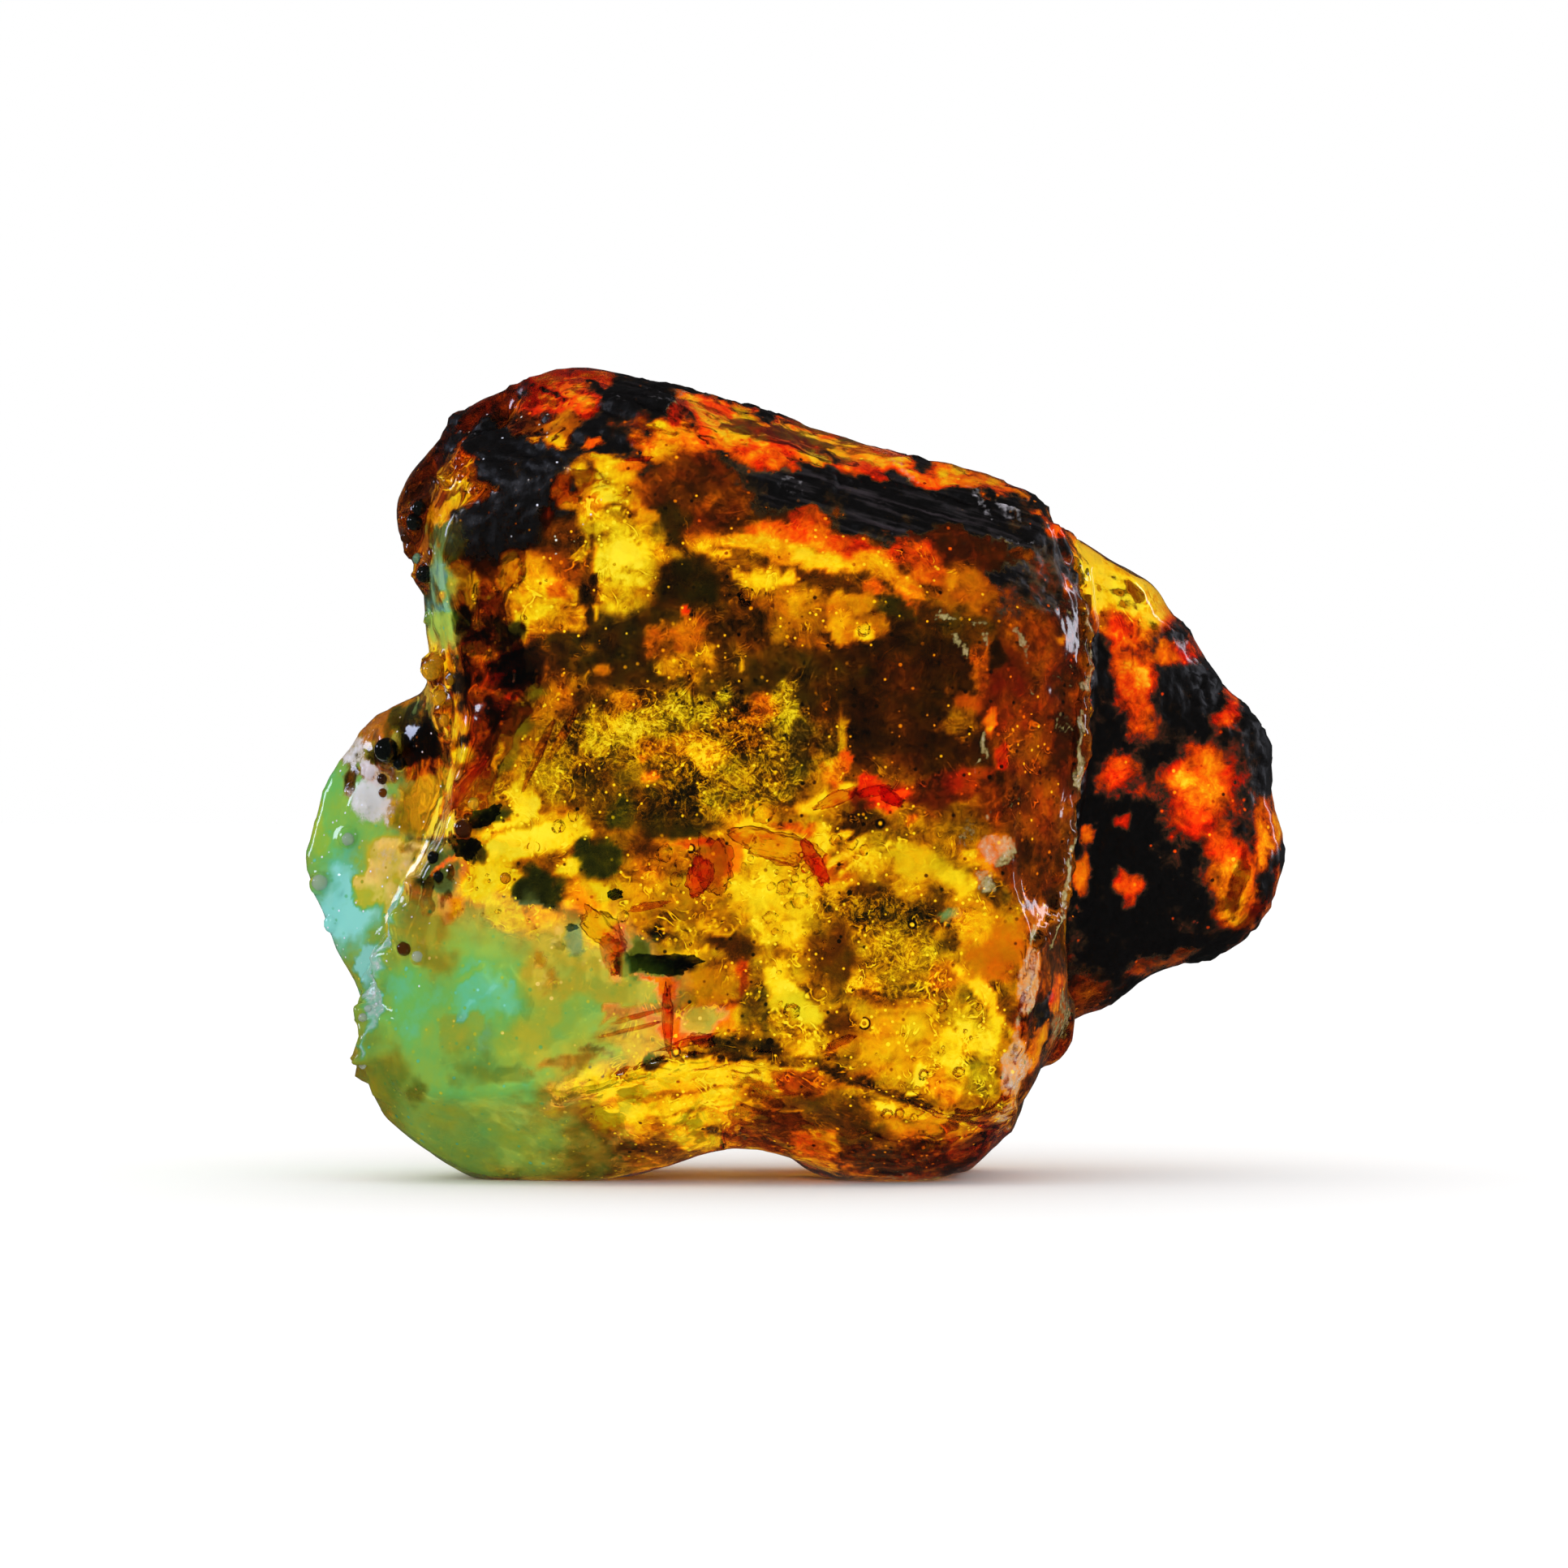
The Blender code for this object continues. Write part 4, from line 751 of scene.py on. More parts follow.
# Lines painted over the zones, in photo pixels: half width, what it sets, corners
strokes = {
    "crack in red": (4, {"tone": 0.95, "crust": 0.4}, [(655, 478), (672, 482), (690, 497)]),
    "rim": (6, {"tone": 0.97, "crust": 1.0, "warmth": 0.9, "furrow": 0.5}, [(772, 462), (840, 470),
        (900, 488), (960, 508), (1020, 522), (1100, 542), (1180, 562), (1260, 588), (1302, 622)]),
    "fold sheen": (5, {"wearAndSheen": 0.42}, [(1020, 530), (1060, 545), (1095, 560), (1125, 590)]),
    "furrow sheen": (3, {"wearAndSheen": 0.4}, [(1195, 600), (1222, 640)]),
    "furrow sheen right": (3, {"wearAndSheen": 0.4}, [(1225, 620), (1270, 650)]),
    "furrow sheen low": (3, {"wearAndSheen": 0.35}, [(1230, 660), (1275, 672), (1310, 690)]),
    # the right ridge and the step below it: frosted edges with a painted highlight along them
    "worn ridge": (5, {"wearAndSheen": 0.55, "behind": 0.0}, [(1308, 640), (1325, 690), (1338, 740), (1344, 800),
        (1340, 848)]),
    "worn ridge low": (2.5, {"wearAndSheen": 0.55, "behind": 0.0}, [(1332, 875), (1330, 925), (1326, 950),
        (1326, 990), (1322, 1015), (1316, 1050), (1311, 1065), (1312, 1090), (1303, 1130), (1295, 1165)]),
    "worn step": (2.5, {"wearAndSheen": 0.55}, [(1278, 1145), (1262, 1200)]),
    "scratch": (2.8, {"wearAndSheen": 0.46}, [(1150, 762), (1190, 765), (1215, 768)]),
    "scratch low": (2.8, {"wearAndSheen": 0.46}, [(1170, 782), (1193, 805)]),
    "scratch down": (2.8, {"wearAndSheen": 0.46}, [(1205, 765), (1213, 800)]),
    "scratch right": (2.8, {"wearAndSheen": 0.46}, [(1250, 775), (1265, 795), (1268, 830), (1277, 857)]),
    "curl": (2, {"wearAndSheen": 0.5}, [(1212, 900), (1206, 915), (1212, 930)]),
    "curl low": (2, {"wearAndSheen": 0.5}, [(1204, 936), (1198, 945), (1204, 955)]),
    "white streak": (2, {"wearAndSheen": 0.5}, [(639, 815), (637, 840)]),
    "needle": (3.5, {"tone": 0.36, "warmth": 0.95, "milk": 0.0, "dust": 0.0}, [(533, 1078), (557, 1057)]),
    "line under window": (4, {"tone": 0.78, "warmth": 0.5}, [(800, 1315), (850, 1303), (900, 1302),
        (1000, 1310), (1040, 1325), (1090, 1345), (1120, 1350), (1145, 1368)]),
    "ring of slab": (3, {"tone": 0.28, "warmth": 0.55}, [(866, 1132), (882, 1122), (908, 1122), (924, 1134),
        (906, 1148), (880, 1148), (866, 1134)]),
    "feather": (3, {"tone": 0.12, "warmth": 0.46}, [(1022, 1066), (1046, 1044), (1066, 1032)]),
    "feather low": (3, {"tone": 0.16, "warmth": 0.46}, [(1038, 1076), (1068, 1052), (1090, 1042)]),
    "feather high": (3, {"tone": 0.14, "warmth": 0.5}, [(1012, 1052), (1028, 1030), (1046, 1022)]),
    "streak of slab": (3, {"tone": 0.2, "warmth": 0.5}, [(820, 1174), (848, 1169), (872, 1166)]),
    "rung": (3, {"tone": 0.4, "warmth": 0.85, "milk": 0.1}, [(742, 1243), (780, 1250), (828, 1262)]),
    "olive streak": (3, {"tone": 0.5, "warmth": 0.4, "milk": 0.2}, [(756, 1266), (800, 1284)]),
    "olive streak low": (3, {"tone": 0.5, "warmth": 0.4, "milk": 0.2}, [(724, 1292), (758, 1303)]),
    "fold of window": (2.6, {"tone": 0.46, "warmth": 0.6}, [(722, 604), (745, 594), (770, 598), (792, 612)]),
    "fold under window": (2.6, {"tone": 0.6, "warmth": 0.6}, [(733, 626), (758, 620), (780, 630)]),
    "fold of second": (2.6, {"tone": 0.46, "warmth": 0.35}, [(730, 670), (752, 656), (780, 660), (796, 672)]),
    "fold low in second": (2.6, {"tone": 0.4, "warmth": 0.4}, [(742, 714), (765, 700), (790, 706),
        (802, 718)]),
    "left of second": (3, {"tone": 0.7, "warmth": 0.65}, [(722, 640), (730, 680), (724, 716), (736, 745)]),
    "fold of bright yellow": (2.6, {"tone": 0.36, "warmth": 0.5}, [(588, 1044), (620, 1026), (655, 1014),
        (692, 1004)]),
    "fold of swirl": (2.6, {"tone": 0.34, "warmth": 0.7}, [(902, 1042), (940, 1028), (985, 1032),
        (1004, 1044)]),
    "fold of foot": (2.6, {"tone": 0.4, "warmth": 0.6}, [(705, 1372), (780, 1354), (860, 1342), (945, 1340)]),
    "fold low in foot": (2.6, {"tone": 0.36, "warmth": 0.6}, [(760, 1388), (840, 1370), (930, 1362),
        (985, 1372)]),
    "fold of gold": (2.6, {"tone": 0.46, "warmth": 0.5}, [(1060, 1262), (1100, 1248), (1150, 1252),
        (1180, 1270)]),
    "fold low in gold": (2.6, {"tone": 0.42, "warmth": 0.5}, [(1084, 1316), (1110, 1290), (1146, 1284)]),
    "rib": (3, {"warmth": 0.45}, [(545, 1250), (560, 1215), (590, 1195), (625, 1190)]),
    "rib in": (3, {"warmth": 0.14}, [(565, 1262), (580, 1235), (605, 1218), (635, 1212)]),
    "welt": (5, {"wearAndSheen": 0.6, "milk": 0.9, "warmth": 0.12}, [(504, 1096), (497, 1105), (490, 1125),
        (488, 1150), (480, 1165), (472, 1185), (468, 1210), (462, 1235), (468, 1250), (463, 1290)]),
}


painting = {
    # noises: pitch in mm, octaves, how much they are flattened through the depth, and a shift for each one
    "coarse": (6.0, 3, 0.5, (0.0, 17.0)),
    "fine": (1.5, 4, 0.7, (31.0, 47.0)),
    "tear": (1.6, 5, 0.6, (3.0, 23.0, 61.0)),
    # photo pixels that the zones are pushed about, on the near and the far side
    "coarsePush": (5, 24),
    "finePush": (6, 16),
    "tearReach": 15,            # photo pixels, how deep a zone's edge is torn
    "mostTorn": 0.8,            # of a zone's smaller half length
    "soft": 0.3,                # width of a zone's edge, as a share of its half length
    "windowSoft": 0.42,         # the same for openings in the crust
    # openings are drawn this much wider than given, for their soft edges, and on the far side to let light in
    "openingSpreads": (1.2, 2.0),
    "strokeTear": 1.5,          # half widths
    "strokeEdge": (0.6, 1.5),   # half widths from the line, where a stroke starts to fade and where it ends
    "farTurn": (-0.05, 0.55),   # how far back the skin turns where the far side begins, and where it is full
    "lobeDepth": (-9, -5),      # mm, what lies deeper is the lobe behind, and not the face
    "nearShare": 1.75,          # how much of the colour the near side holds; the far side holds the rest of 2
    "sideSharpness": 1.6,       # how quickly the one gives way to the other
    "farThinning": 0.65,        # how much thinner the crust is on the far side
    "farLightening": 0.4,       # how much lighter the resin is there
}


# How far a zone reaches at each point: 1 inside, 0 outside, with a torn edge
def zoneShare(pixels, tear, middle, halves, turn, soft):
    angle = math.radians(turn)
    across = pixels[:, 0] - middle[0]
    down = pixels[:, 1] - middle[1]
    longways = (across * math.cos(angle) - down * math.sin(angle)) / halves[0]
    sideways = (across * math.sin(angle) + down * math.cos(angle)) / halves[1]
    torn = tear * min(painting["tearReach"] / min(halves), painting["mostTorn"])
    return 1 - fade(np.hypot(longways, sideways) + torn, 1 - soft, 1 + soft)


def paintSkin(stone):
    data = stone.data
    points, _ = pointsAndEdges(data)
    normals = normalsOf(data)
    pixels = pixelsOf(points)
    far = fade(normals[:, 1], *painting["farTurn"])
    noises = {}
    for name in ("coarse", "fine", "tear"):
        pitch, octaves, flatten, shifts = painting[name]
        noises[name] = [roughField(points, pitch, octaves, shift, flatten) for shift in shifts]
    for name in ("coarse", "fine"):
        near, away = painting[name + "Push"]
        for axis, push in enumerate(noises[name]):
            pixels[:, axis] += push * (near + (away - near) * far)
    tears = noises["tear"]
    limits = {"behind": fade(points[:, 1], *painting["lobeDepth"]), "far": far}
    fields = {name: np.full(len(points), float(value)) for name, value in everywhere.items()}

    def paint(values, share):
        for name, reach in limits.items():
            if name in values:
                share = share * (reach if values[name] else 1 - reach)
        for name in fields.keys() & values.keys():
            fields[name] += (values[name] - fields[name]) * share

    for k, (across, down, halfAcross, halfDown, turn, *row) in enumerate(zones.values()):
        others = row.pop() if isinstance(row[-1], dict) else {}
        values = dict(zip(rowOrder, row)) | others
        opening = values.get("crust") == 0.0
        soft = values.get("soft", painting["windowSoft" if opening else "soft"])
        nearAndFar = []
        for spread in painting["openingSpreads"] if opening else (1.0,):
            halves = (halfAcross * spread, halfDown * spread)
            nearAndFar.append(zoneShare(pixels, tears[k % len(tears)], (across, down), halves, turn, soft))
        paint(values, nearAndFar[0] + (nearAndFar[-1] - nearAndFar[0]) * far)
    for halfWidth, values, corners in strokes.values():
        away = distanceToLine(pixels, corners) / halfWidth + painting["strokeTear"] * tears[0]
        paint(values, (1 - far) * (1 - fade(away, *painting["strokeEdge"])))
    fields["crust"] *= 1 - painting["farThinning"] * far
    fields["tone"] *= 1 - painting["farLightening"] * far
    facing = np.clip(normals[:, 1] * painting["sideSharpness"], -1, 1)
    fields["share"] = 1 - (painting["nearShare"] - 1) * facing
    for name, values in fields.items():
        data.attributes.new(name, "FLOAT", "POINT").data.foreach_set("value", values.astype(np.float32))


paintSkin(stone)
print("skin painted")


def shapeSkin(stone):
    data = stone.data
    points, _ = pointsAndEdges(data)
    normals = normalsOf(data)
    tree = BVHTree.FromObject(stone, bpy.context.evaluated_depsgraph_get())
    pixels = pixelsOf(points)
    front = fade(-normals[:, 1], *relief["frontTurn"])
    crust = fieldOf(data, "crust")
    top = crust * fade(normals[:, 2], *relief["topTurn"])

    turn = math.radians(relief["furrowTurn"])
    along = points[:, 0] * math.cos(turn) + points[:, 2] * math.sin(turn)
    across = points[:, 2] * math.cos(turn) - points[:, 0] * math.sin(turn)
    lined = np.stack([
        along / relief["furrowLength"],
        across / relief["furrowPitch"],
        points[:, 1] / relief["furrowPitch"] * relief["furrowFlatten"],
    ], axis=1)
    noises = {}
    for name in ("grain", "ripples", "waves", "ridgeLumps"):
        pitch, octaves, shift, tall = relief[name]
        noises[name] = tall * roughField(points, pitch, octaves, shift)
    height = crust * relief["pebbleHeight"] * (pebbles(points, relief["pebblePitch"]) - 0.5)
    height += (relief["bareGrain"] + crust) * noises["grain"]
    height += top * relief["furrowDepth"] * roughField(lined, 1.0)
    height += (1 - crust) * noises["ripples"]
    height += noises["waves"]
    fromArc = np.linalg.norm(pixels - np.array(relief["arcMiddle"], float), axis=1)
    ribs = fade(fromArc, *relief["arcStart"]) * (1 - fade(fromArc, *relief["arcEnd"]))
    height += front * ribs * relief["arcHeight"] * np.sin(fromArc / relief["arcPitch"] * 2 * math.pi)
    swayed = pixels + relief["ridgeSway"] * roughField(points, relief["ridgeSwayPitch"])[:, None]
    for halfWidth, ridgeHeight, corners in ridges.values():
        away = distanceToLine(swayed, corners)
        domed = np.sqrt(np.clip(1 - (away / halfWidth) ** 2, 0, 1))
        height += front * domed * ridgeHeight * (1 + noises["ridgeLumps"])
    points += normals * (height * fade(points[:, 2], *relief["footFade"]))[:, None]

    # painted sheen on the crests of the crust, added to the frost field
    frostAndSheen = fieldOf(data, "wearAndSheen") + relief["crestSheen"] * crust * fade(height, *relief["crests"])
    data.attributes["wearAndSheen"].data.foreach_set("value", frostAndSheen.astype(np.float32))

    for pixel, radius, standing in drops:
        spot, normal = surfaceBelow(tree, pixel)
        if spot is None:
            continue
        size = radius * photoView["pixelSize"]
        middle = np.array(spot + normal * size * (standing - relief["dropSink"]))
        outward = points - middle
        away = np.linalg.norm(outward, axis=1)
        inside = away < size
        points[inside] = middle + outward[inside] / away[inside, None] * size
    points[:, 2] = np.maximum(points[:, 2], 0.0)
    setPoints(data, points)


shapeSkin(stone)
print("skin shaped")


# Materials
def linear(hexColour):
    channels = [int(hexColour[k:k + 2], 16) / 255 for k in (1, 3, 5)]
    return tuple(c / 12.92 if c <= 0.04045 else ((c + 0.055) / 1.055) ** 2.4 for c in channels) + (1.0,)


def perMetre(pitch):
    return 1 / (pitch * mm)


# Adds a node: settings are its own properties, inputs are values, or the nodes or sockets they come from
def addNode(tree, kind, inputs=None, stops=None, **settings):
    node = tree.nodes.new(kind)
    for name, value in settings.items():
        setattr(node, name, value)
    for name, value in (inputs or {}).items():
        if isinstance(value, bpy.types.Node):
            value = value.outputs[0]
        if isinstance(value, bpy.types.NodeSocket):
            tree.links.new(value, node.inputs[name])
        else:
            node.inputs[name].default_value = value
    if stops:
        elements = node.color_ramp.elements
        while len(elements) < len(stops):
            elements.new(0.5)
        for element, (place, colour) in zip(elements, stops):
            element.position = place
            element.color = linear(colour)
    return node


def newMaterial(name):
    material = bpy.data.materials.new(name)
    material.use_nodes = True
    material.node_tree.nodes.clear()
    return material, material.node_tree


# Fossil resin, broken by hand and weathered outside: clear gold where it is thin, red and then black where
# its burnt crust lies behind, milky green to turquoise where it glows under the sky
amberLook = {
    "ior": 1.54,
    "absorption": "#FFF2A0",
    "absorptionDensity": 40,   # per metre
    "oliveStops": [
        (0.0, "#F4F050"), (0.15, "#E8E02C"), (0.3, "#C2BA12"), (0.45, "#8F880C"), (0.58, "#625C0A"),
        (0.7, "#3B3A0A"), (0.8, "#21240A"), (0.9, "#101509"), (1.0, "#070908"),
    ],
    "goldStops": [
        (0.0, "#FFEC34"), (0.15, "#FADA10"), (0.3, "#E6AC06"), (0.45, "#BE7902"), (0.58, "#8A4E02"),
        (0.7, "#542A03"), (0.8, "#311804"), (0.9, "#180C05"), (1.0, "#0A0505"),
    ],
    "warmStops": [
        (0.0, "#FFD034"), (0.1, "#FFB41A"), (0.2, "#FF7A0A"), (0.3, "#FF4206"), (0.42, "#F02404"),
        (0.55, "#B41405"), (0.68, "#6C0E06"), (0.82, "#2E0A08"), (1.0, "#0A0506"),
    ],
    "milkStops": [
        (0.0, "#8AE0DA"), (0.2, "#64C498"), (0.38, "#70BC5C"), (0.55, "#90BC44"), (0.7, "#BCC034"),
        (0.85, "#FFEC84"), (1.0, "#E0B478"),
    ],
    "goldWarmth": (0.0, 0.5),      # where olive turns to gold
    "warmWarmth": (0.5, 1.25),     # and gold to orange and red
    "murkTone": (0.42, 0.9),       # where milky resin turns murky
    "murkColour": "#41580C",
    "crustTone": (0.6, 0.92),      # from clear resin to opaque crust
    "crustTorn": (0.3, 0.7),
    "crustColours": ("#040202", "#140C0C"),
    "sheenColour": "#382E34",
    # lilac white of frosted edges, also used for the painted highlights and sheen
    "frostAndSheenColour": "#DAD4E0",
    "frostAndSheen": (0.32, 1.0, 0.85),     # where frost and painted sheen begin, where they are full, and how white they are there
    # bluish white of dust specks, which are partly painted sparkles
    "sparklyDustColour": "#E4E8FF",
    "milkDulling": 0.8,            # how much less light milky resin lets through
    "roughness": (0.07, 0.45),     # of the broken face and of the crust
    "pitting": (0.08, 0.8),
    "pitDepth": 0.05,              # mm
    # noises: pitch in mm, detail, roughness, distortion
    "noises": {
        "clouds": (2.4, 2.0, 0.6, 0.0),
        "waves": (0.9, 6.0, 0.65, 1.2),
        "grain": (0.3, 2.0, 0.6, 0.0),
        "strands": (1.4, 4.0, 0.65, 0.8),
        "fineStrands": (0.75, 4.0, 0.65, 0.8),
        "cracks": (2.4, 2.5, 0.55, 1.6),
        "breaks": (1.3, 3.0, 0.7, 0.0),
        "drift": (1.7, 3.0, 0.6, 0.0),
        "pits": (0.35, 3.0, 0.5, 0.0),
    },
    "unevenHeights": {"clouds": 1.2, "waves": 1.0, "grain": 0.3},
    "unevenStart": -1.25,          # brings the three together to about 0
    "drifting": (0.9, -0.45),      # brings a single noise to about 0
    # lines where a noise is close to its middle height: what they belong to, noise, half width in the noise's
    # own height, how much they darken in the middle and beside, and how they fade
    "lines": [
        ("moss", "strands", 0.07, -0.24, 0.03, "LINEAR"),
        ("moss", "fineStrands", 0.07, -0.24, 0.03, "LINEAR"),
        ("wisp", "cracks", 0.035, -0.55, 0.0, "SMOOTHSTEP"),
        ("wisp", "cracks", 0.14, 0.2, 0.0, "SMOOTHSTEP"),
    ],
    "between": {"moss": 0.14, "wisp": 0.0},
    "breakHeights": (0.5, 0.62),   # cracks show where the noise is higher
    "frothPitch": 0.95,            # mm
    "frothSizes": 0.3,             # how much the bubbles differ, in pitches
    # radius of the smallest, half width of the ring and how much it darkens
    "frothRings": [(0.06, 0.07, -0.7), (0.17, 0.08, 0.45)],
    # dots: pitch in mm, radius inside and outside their soft edge in pitches, strength. The glints are
    # painted highlights, and the dust specks are partly painted sparkles
    "dots": {
        "crumbs": (0.75, 0.1, 0.2, 1.0),
        "glints": (0.42, 0.08, 0.26, -0.8),
        "dust": (0.55, 0.07, 0.17, 1.0),
    },
    "crumbDarkening": (0.9, -0.9), # of the darkest and of the most golden crumb
    "crumbShare": 0.5,
    "glintChance": 0.3,            # where wisp is 1
    "milkSway": (0.5, -0.35),      # how far drift and crumbs shift the colour of milky resin
    "crustSway": 0.3,              # how much the crust follows the uneven tone
    "frostAndSheenSway": (0.4, 0.7),        # and frost with its painted sheen the uneven tone and the grain
    "furrowTurn": -15.8,           # degrees
    "furrowPitch": 0.5,            # mm
    "furrowLength": 6.0,           # mm
    "furrowFlatten": 0.6,
    "furrowHeights": (0.5, 0.72),
}


def makeAmber():
    material, tree = newMaterial("fossil amber, broken and weathered")
    look = amberLook
    place = addNode(tree, "ShaderNodeTexCoord").outputs["Object"]
    painted = {
        name: addNode(tree, "ShaderNodeAttribute", attribute_name=name).outputs["Fac"]
        for name in [*everywhere, "share"]
    }
    noises = {}
    for name, (pitch, detail, roughness, distortion) in look["noises"].items():
        noises[name] = addNode(tree, "ShaderNodeTexNoise", {
            "Vector": place, "Scale": perMetre(pitch), "Detail": detail, "Roughness": roughness,
            "Distortion": distortion,
        })
    dots = {}
    chances = {}
    for name, (pitch, inside, outside, strength) in look["dots"].items():
        cells = addNode(tree, "ShaderNodeTexVoronoi", {"Vector": place, "Scale": perMetre(pitch)})
        chances[name] = addNode(tree, "ShaderNodeSeparateColor", {"Color": cells.outputs["Color"]})
        dots[name] = addNode(tree, "ShaderNodeMapRange", {
            "Value": cells, "From Min": inside, "From Max": outside, "To Min": strength, "To Max": 0.0,
        })
    steepness, start = look["drifting"]
    drift, grainy = (
        addNode(tree, "ShaderNodeMath", {0: noises[name], 1: steepness, 2: start}, operation="MULTIPLY_ADD")
        for name in ("drift", "grain")
    )

    # uneven tone: soft clouds with finer ones in them
    uneven = look["unevenStart"]
    for name, height in look["unevenHeights"].items():
        uneven = addNode(tree, "ShaderNodeMath", {0: noises[name], 1: height, 2: uneven},
                         operation="MULTIPLY_ADD")
    tone = addNode(tree, "ShaderNodeMath", {0: uneven, 1: painted["mottle"], 2: painted["tone"]},
                   operation="MULTIPLY_ADD")

    # moss: a web of coarser and finer strands, light on dark. wisps: old cracks, each drawn as a painted
    # highlight along its edge with a painted shadow line beside it
    webs = dict(look["between"])
    for web, name, width, middle, beside, fading in look["lines"]:
        line = addNode(tree, "ShaderNodeMath", {0: noises[name], 1: 0.5}, operation="SUBTRACT")
        line = addNode(tree, "ShaderNodeMath", {0: line}, operation="ABSOLUTE")
        line = addNode(tree, "ShaderNodeMapRange", {
            "Value": line, "From Max": width, "To Min": middle, "To Max": beside,
        }, interpolation_type=fading)
        webs[web] = addNode(tree, "ShaderNodeMath", {0: line, 1: webs[web]}, operation="ADD")
    broken = addNode(tree, "ShaderNodeMapRange", {
        "Value": noises["breaks"], "From Min": look["breakHeights"][0], "From Max": look["breakHeights"][1],
    })
    webs["wisp"] = addNode(tree, "ShaderNodeMath", {0: webs["wisp"], 1: broken}, operation="MULTIPLY")
    for name, web in webs.items():
        tone = addNode(tree, "ShaderNodeMath", {0: web, 1: painted[name], 2: tone}, operation="MULTIPLY_ADD")

    # froth: small bubbles in some of the cells, each drawn as a painted highlight ring inside a painted dark
    # rim
    cells = addNode(tree, "ShaderNodeTexVoronoi", {"Vector": place, "Scale": perMetre(look["frothPitch"])})
    chance = addNode(tree, "ShaderNodeSeparateColor", {"Color": cells.outputs["Color"]})
    froth = 0.0
    for smallest, width, darkening in look["frothRings"]:
        radius = addNode(tree, "ShaderNodeMath", {
            0: chance.outputs["Green"], 1: look["frothSizes"], 2: smallest,
        }, operation="MULTIPLY_ADD")
        ring = addNode(tree, "ShaderNodeMath", {0: cells, 1: radius}, operation="SUBTRACT")
        ring = addNode(tree, "ShaderNodeMath", {0: ring}, operation="ABSOLUTE")
        ring = addNode(tree, "ShaderNodeMapRange", {
            "Value": ring, "From Max": width, "To Min": darkening, "To Max": 0.0,
        }, interpolation_type="SMOOTHSTEP")
        froth = addNode(tree, "ShaderNodeMath", {0: ring, 1: froth}, operation="ADD")
    here = addNode(tree, "ShaderNodeMath", {0: chance, 1: painted["froth"]}, operation="LESS_THAN")
    tone = addNode(tree, "ShaderNodeMath", {0: froth, 1: here, 2: tone}, operation="MULTIPLY_ADD")

    # crumbs of bark, dark, and here and there a golden one
    darkest, lightest = look["crumbDarkening"]
    darkening = addNode(tree, "ShaderNodeMapRange", {
        "Value": chances["crumbs"], "To Min": darkest, "To Max": lightest,
    })
    crumb = addNode(tree, "ShaderNodeMath", {0: dots["crumbs"], 1: darkening}, operation="MULTIPLY")
    tone = addNode(tree, "ShaderNodeMath", {0: crumb, 1: look["crumbShare"], 2: tone},
                   operation="MULTIPLY_ADD", use_clamp=True)

    # painted glints: fine bright points painted into the colour
    glinting = addNode(tree, "ShaderNodeMath", {0: painted["wisp"], 1: look["glintChance"]},
                       operation="MULTIPLY")
    glinting = addNode(tree, "ShaderNodeMath", {0: chances["glints"], 1: glinting}, operation="LESS_THAN")
    tone = addNode(tree, "ShaderNodeMath", {0: dots["glints"], 1: glinting, 2: tone},
                   operation="MULTIPLY_ADD", use_clamp=True)

    # colours by tone, from olive over gold to red by warmth
    warmth = addNode(tree, "ShaderNodeMath", {0: painted["warmth"], 1: drift}, operation="ADD")
    colour = addNode(tree, "ShaderNodeValToRGB", {"Fac": tone}, look["oliveStops"])
    for name in ("gold", "warm"):
        warmer = addNode(tree, "ShaderNodeValToRGB", {"Fac": tone}, look[name + "Stops"])
        start, end = look[name + "Warmth"]
        share = addNode(tree, "ShaderNodeMapRange", {"Value": warmth, "From Min": start, "From Max": end})
        colour = addNode(tree, "ShaderNodeMix", {0: share, 6: colour, 7: warmer}, data_type="RGBA").outputs[2]
    colour = addNode(tree, "ShaderNodeGamma", {"Color": colour, "Gamma": painted["share"]})

    # milky resin, turquoise to cream by warmth and murky in the shade
    milky = painted["warmth"]
    for source, sway in zip((drift, crumb), look["milkSway"]):
        milky = addNode(tree, "ShaderNodeMath", {0: source, 1: sway, 2: milky}, operation="MULTIPLY_ADD",
                        use_clamp=True)
    milky = addNode(tree, "ShaderNodeValToRGB", {"Fac": milky}, look["milkStops"])
    murky = addNode(tree, "ShaderNodeMapRange", {
        "Value": painted["tone"], "From Min": look["murkTone"][0], "From Max": look["murkTone"][1],
    })
    milky = addNode(tree, "ShaderNodeMix", {0: murky, 6: milky, 7: linear(look["murkColour"])},
                    data_type="RGBA").outputs[2]

    # the burnt crust, opaque where the tone is dark, with fine lines of painted dull sheen along its furrows
    torn = addNode(tree, "ShaderNodeMath", {0: grainy, 1: painted["crust"]}, operation="ADD")
    torn = addNode(tree, "ShaderNodeMath", {0: uneven, 1: look["crustSway"], 2: torn},
                   operation="MULTIPLY_ADD")
    burnt = 1.0
    for value, name in ((torn, "crustTorn"), (tone, "crustTone")):
        part = addNode(tree, "ShaderNodeMapRange", {
            "Value": value, "From Min": look[name][0], "From Max": look[name][1],
        }, interpolation_type="SMOOTHSTEP")
        burnt = addNode(tree, "ShaderNodeMath", {0: part, 1: burnt}, operation="MULTIPLY")
    lined = addNode(tree, "ShaderNodeMapping", {
        "Vector": place, "Rotation": (0.0, math.radians(look["furrowTurn"]), 0.0),
    })
    lined = addNode(tree, "ShaderNodeMapping", {
        "Vector": lined, "Scale": (look["furrowPitch"] / look["furrowLength"], look["furrowFlatten"], 1.0),
    })
    lines = addNode(tree, "ShaderNodeTexNoise", {
        "Vector": lined, "Scale": perMetre(look["furrowPitch"]), "Detail": 3.0, "Roughness": 0.6,
    })
    sheen = addNode(tree, "ShaderNodeMapRange", {
        "Value": lines, "From Min": look["furrowHeights"][0], "From Max": look["furrowHeights"][1],
    })
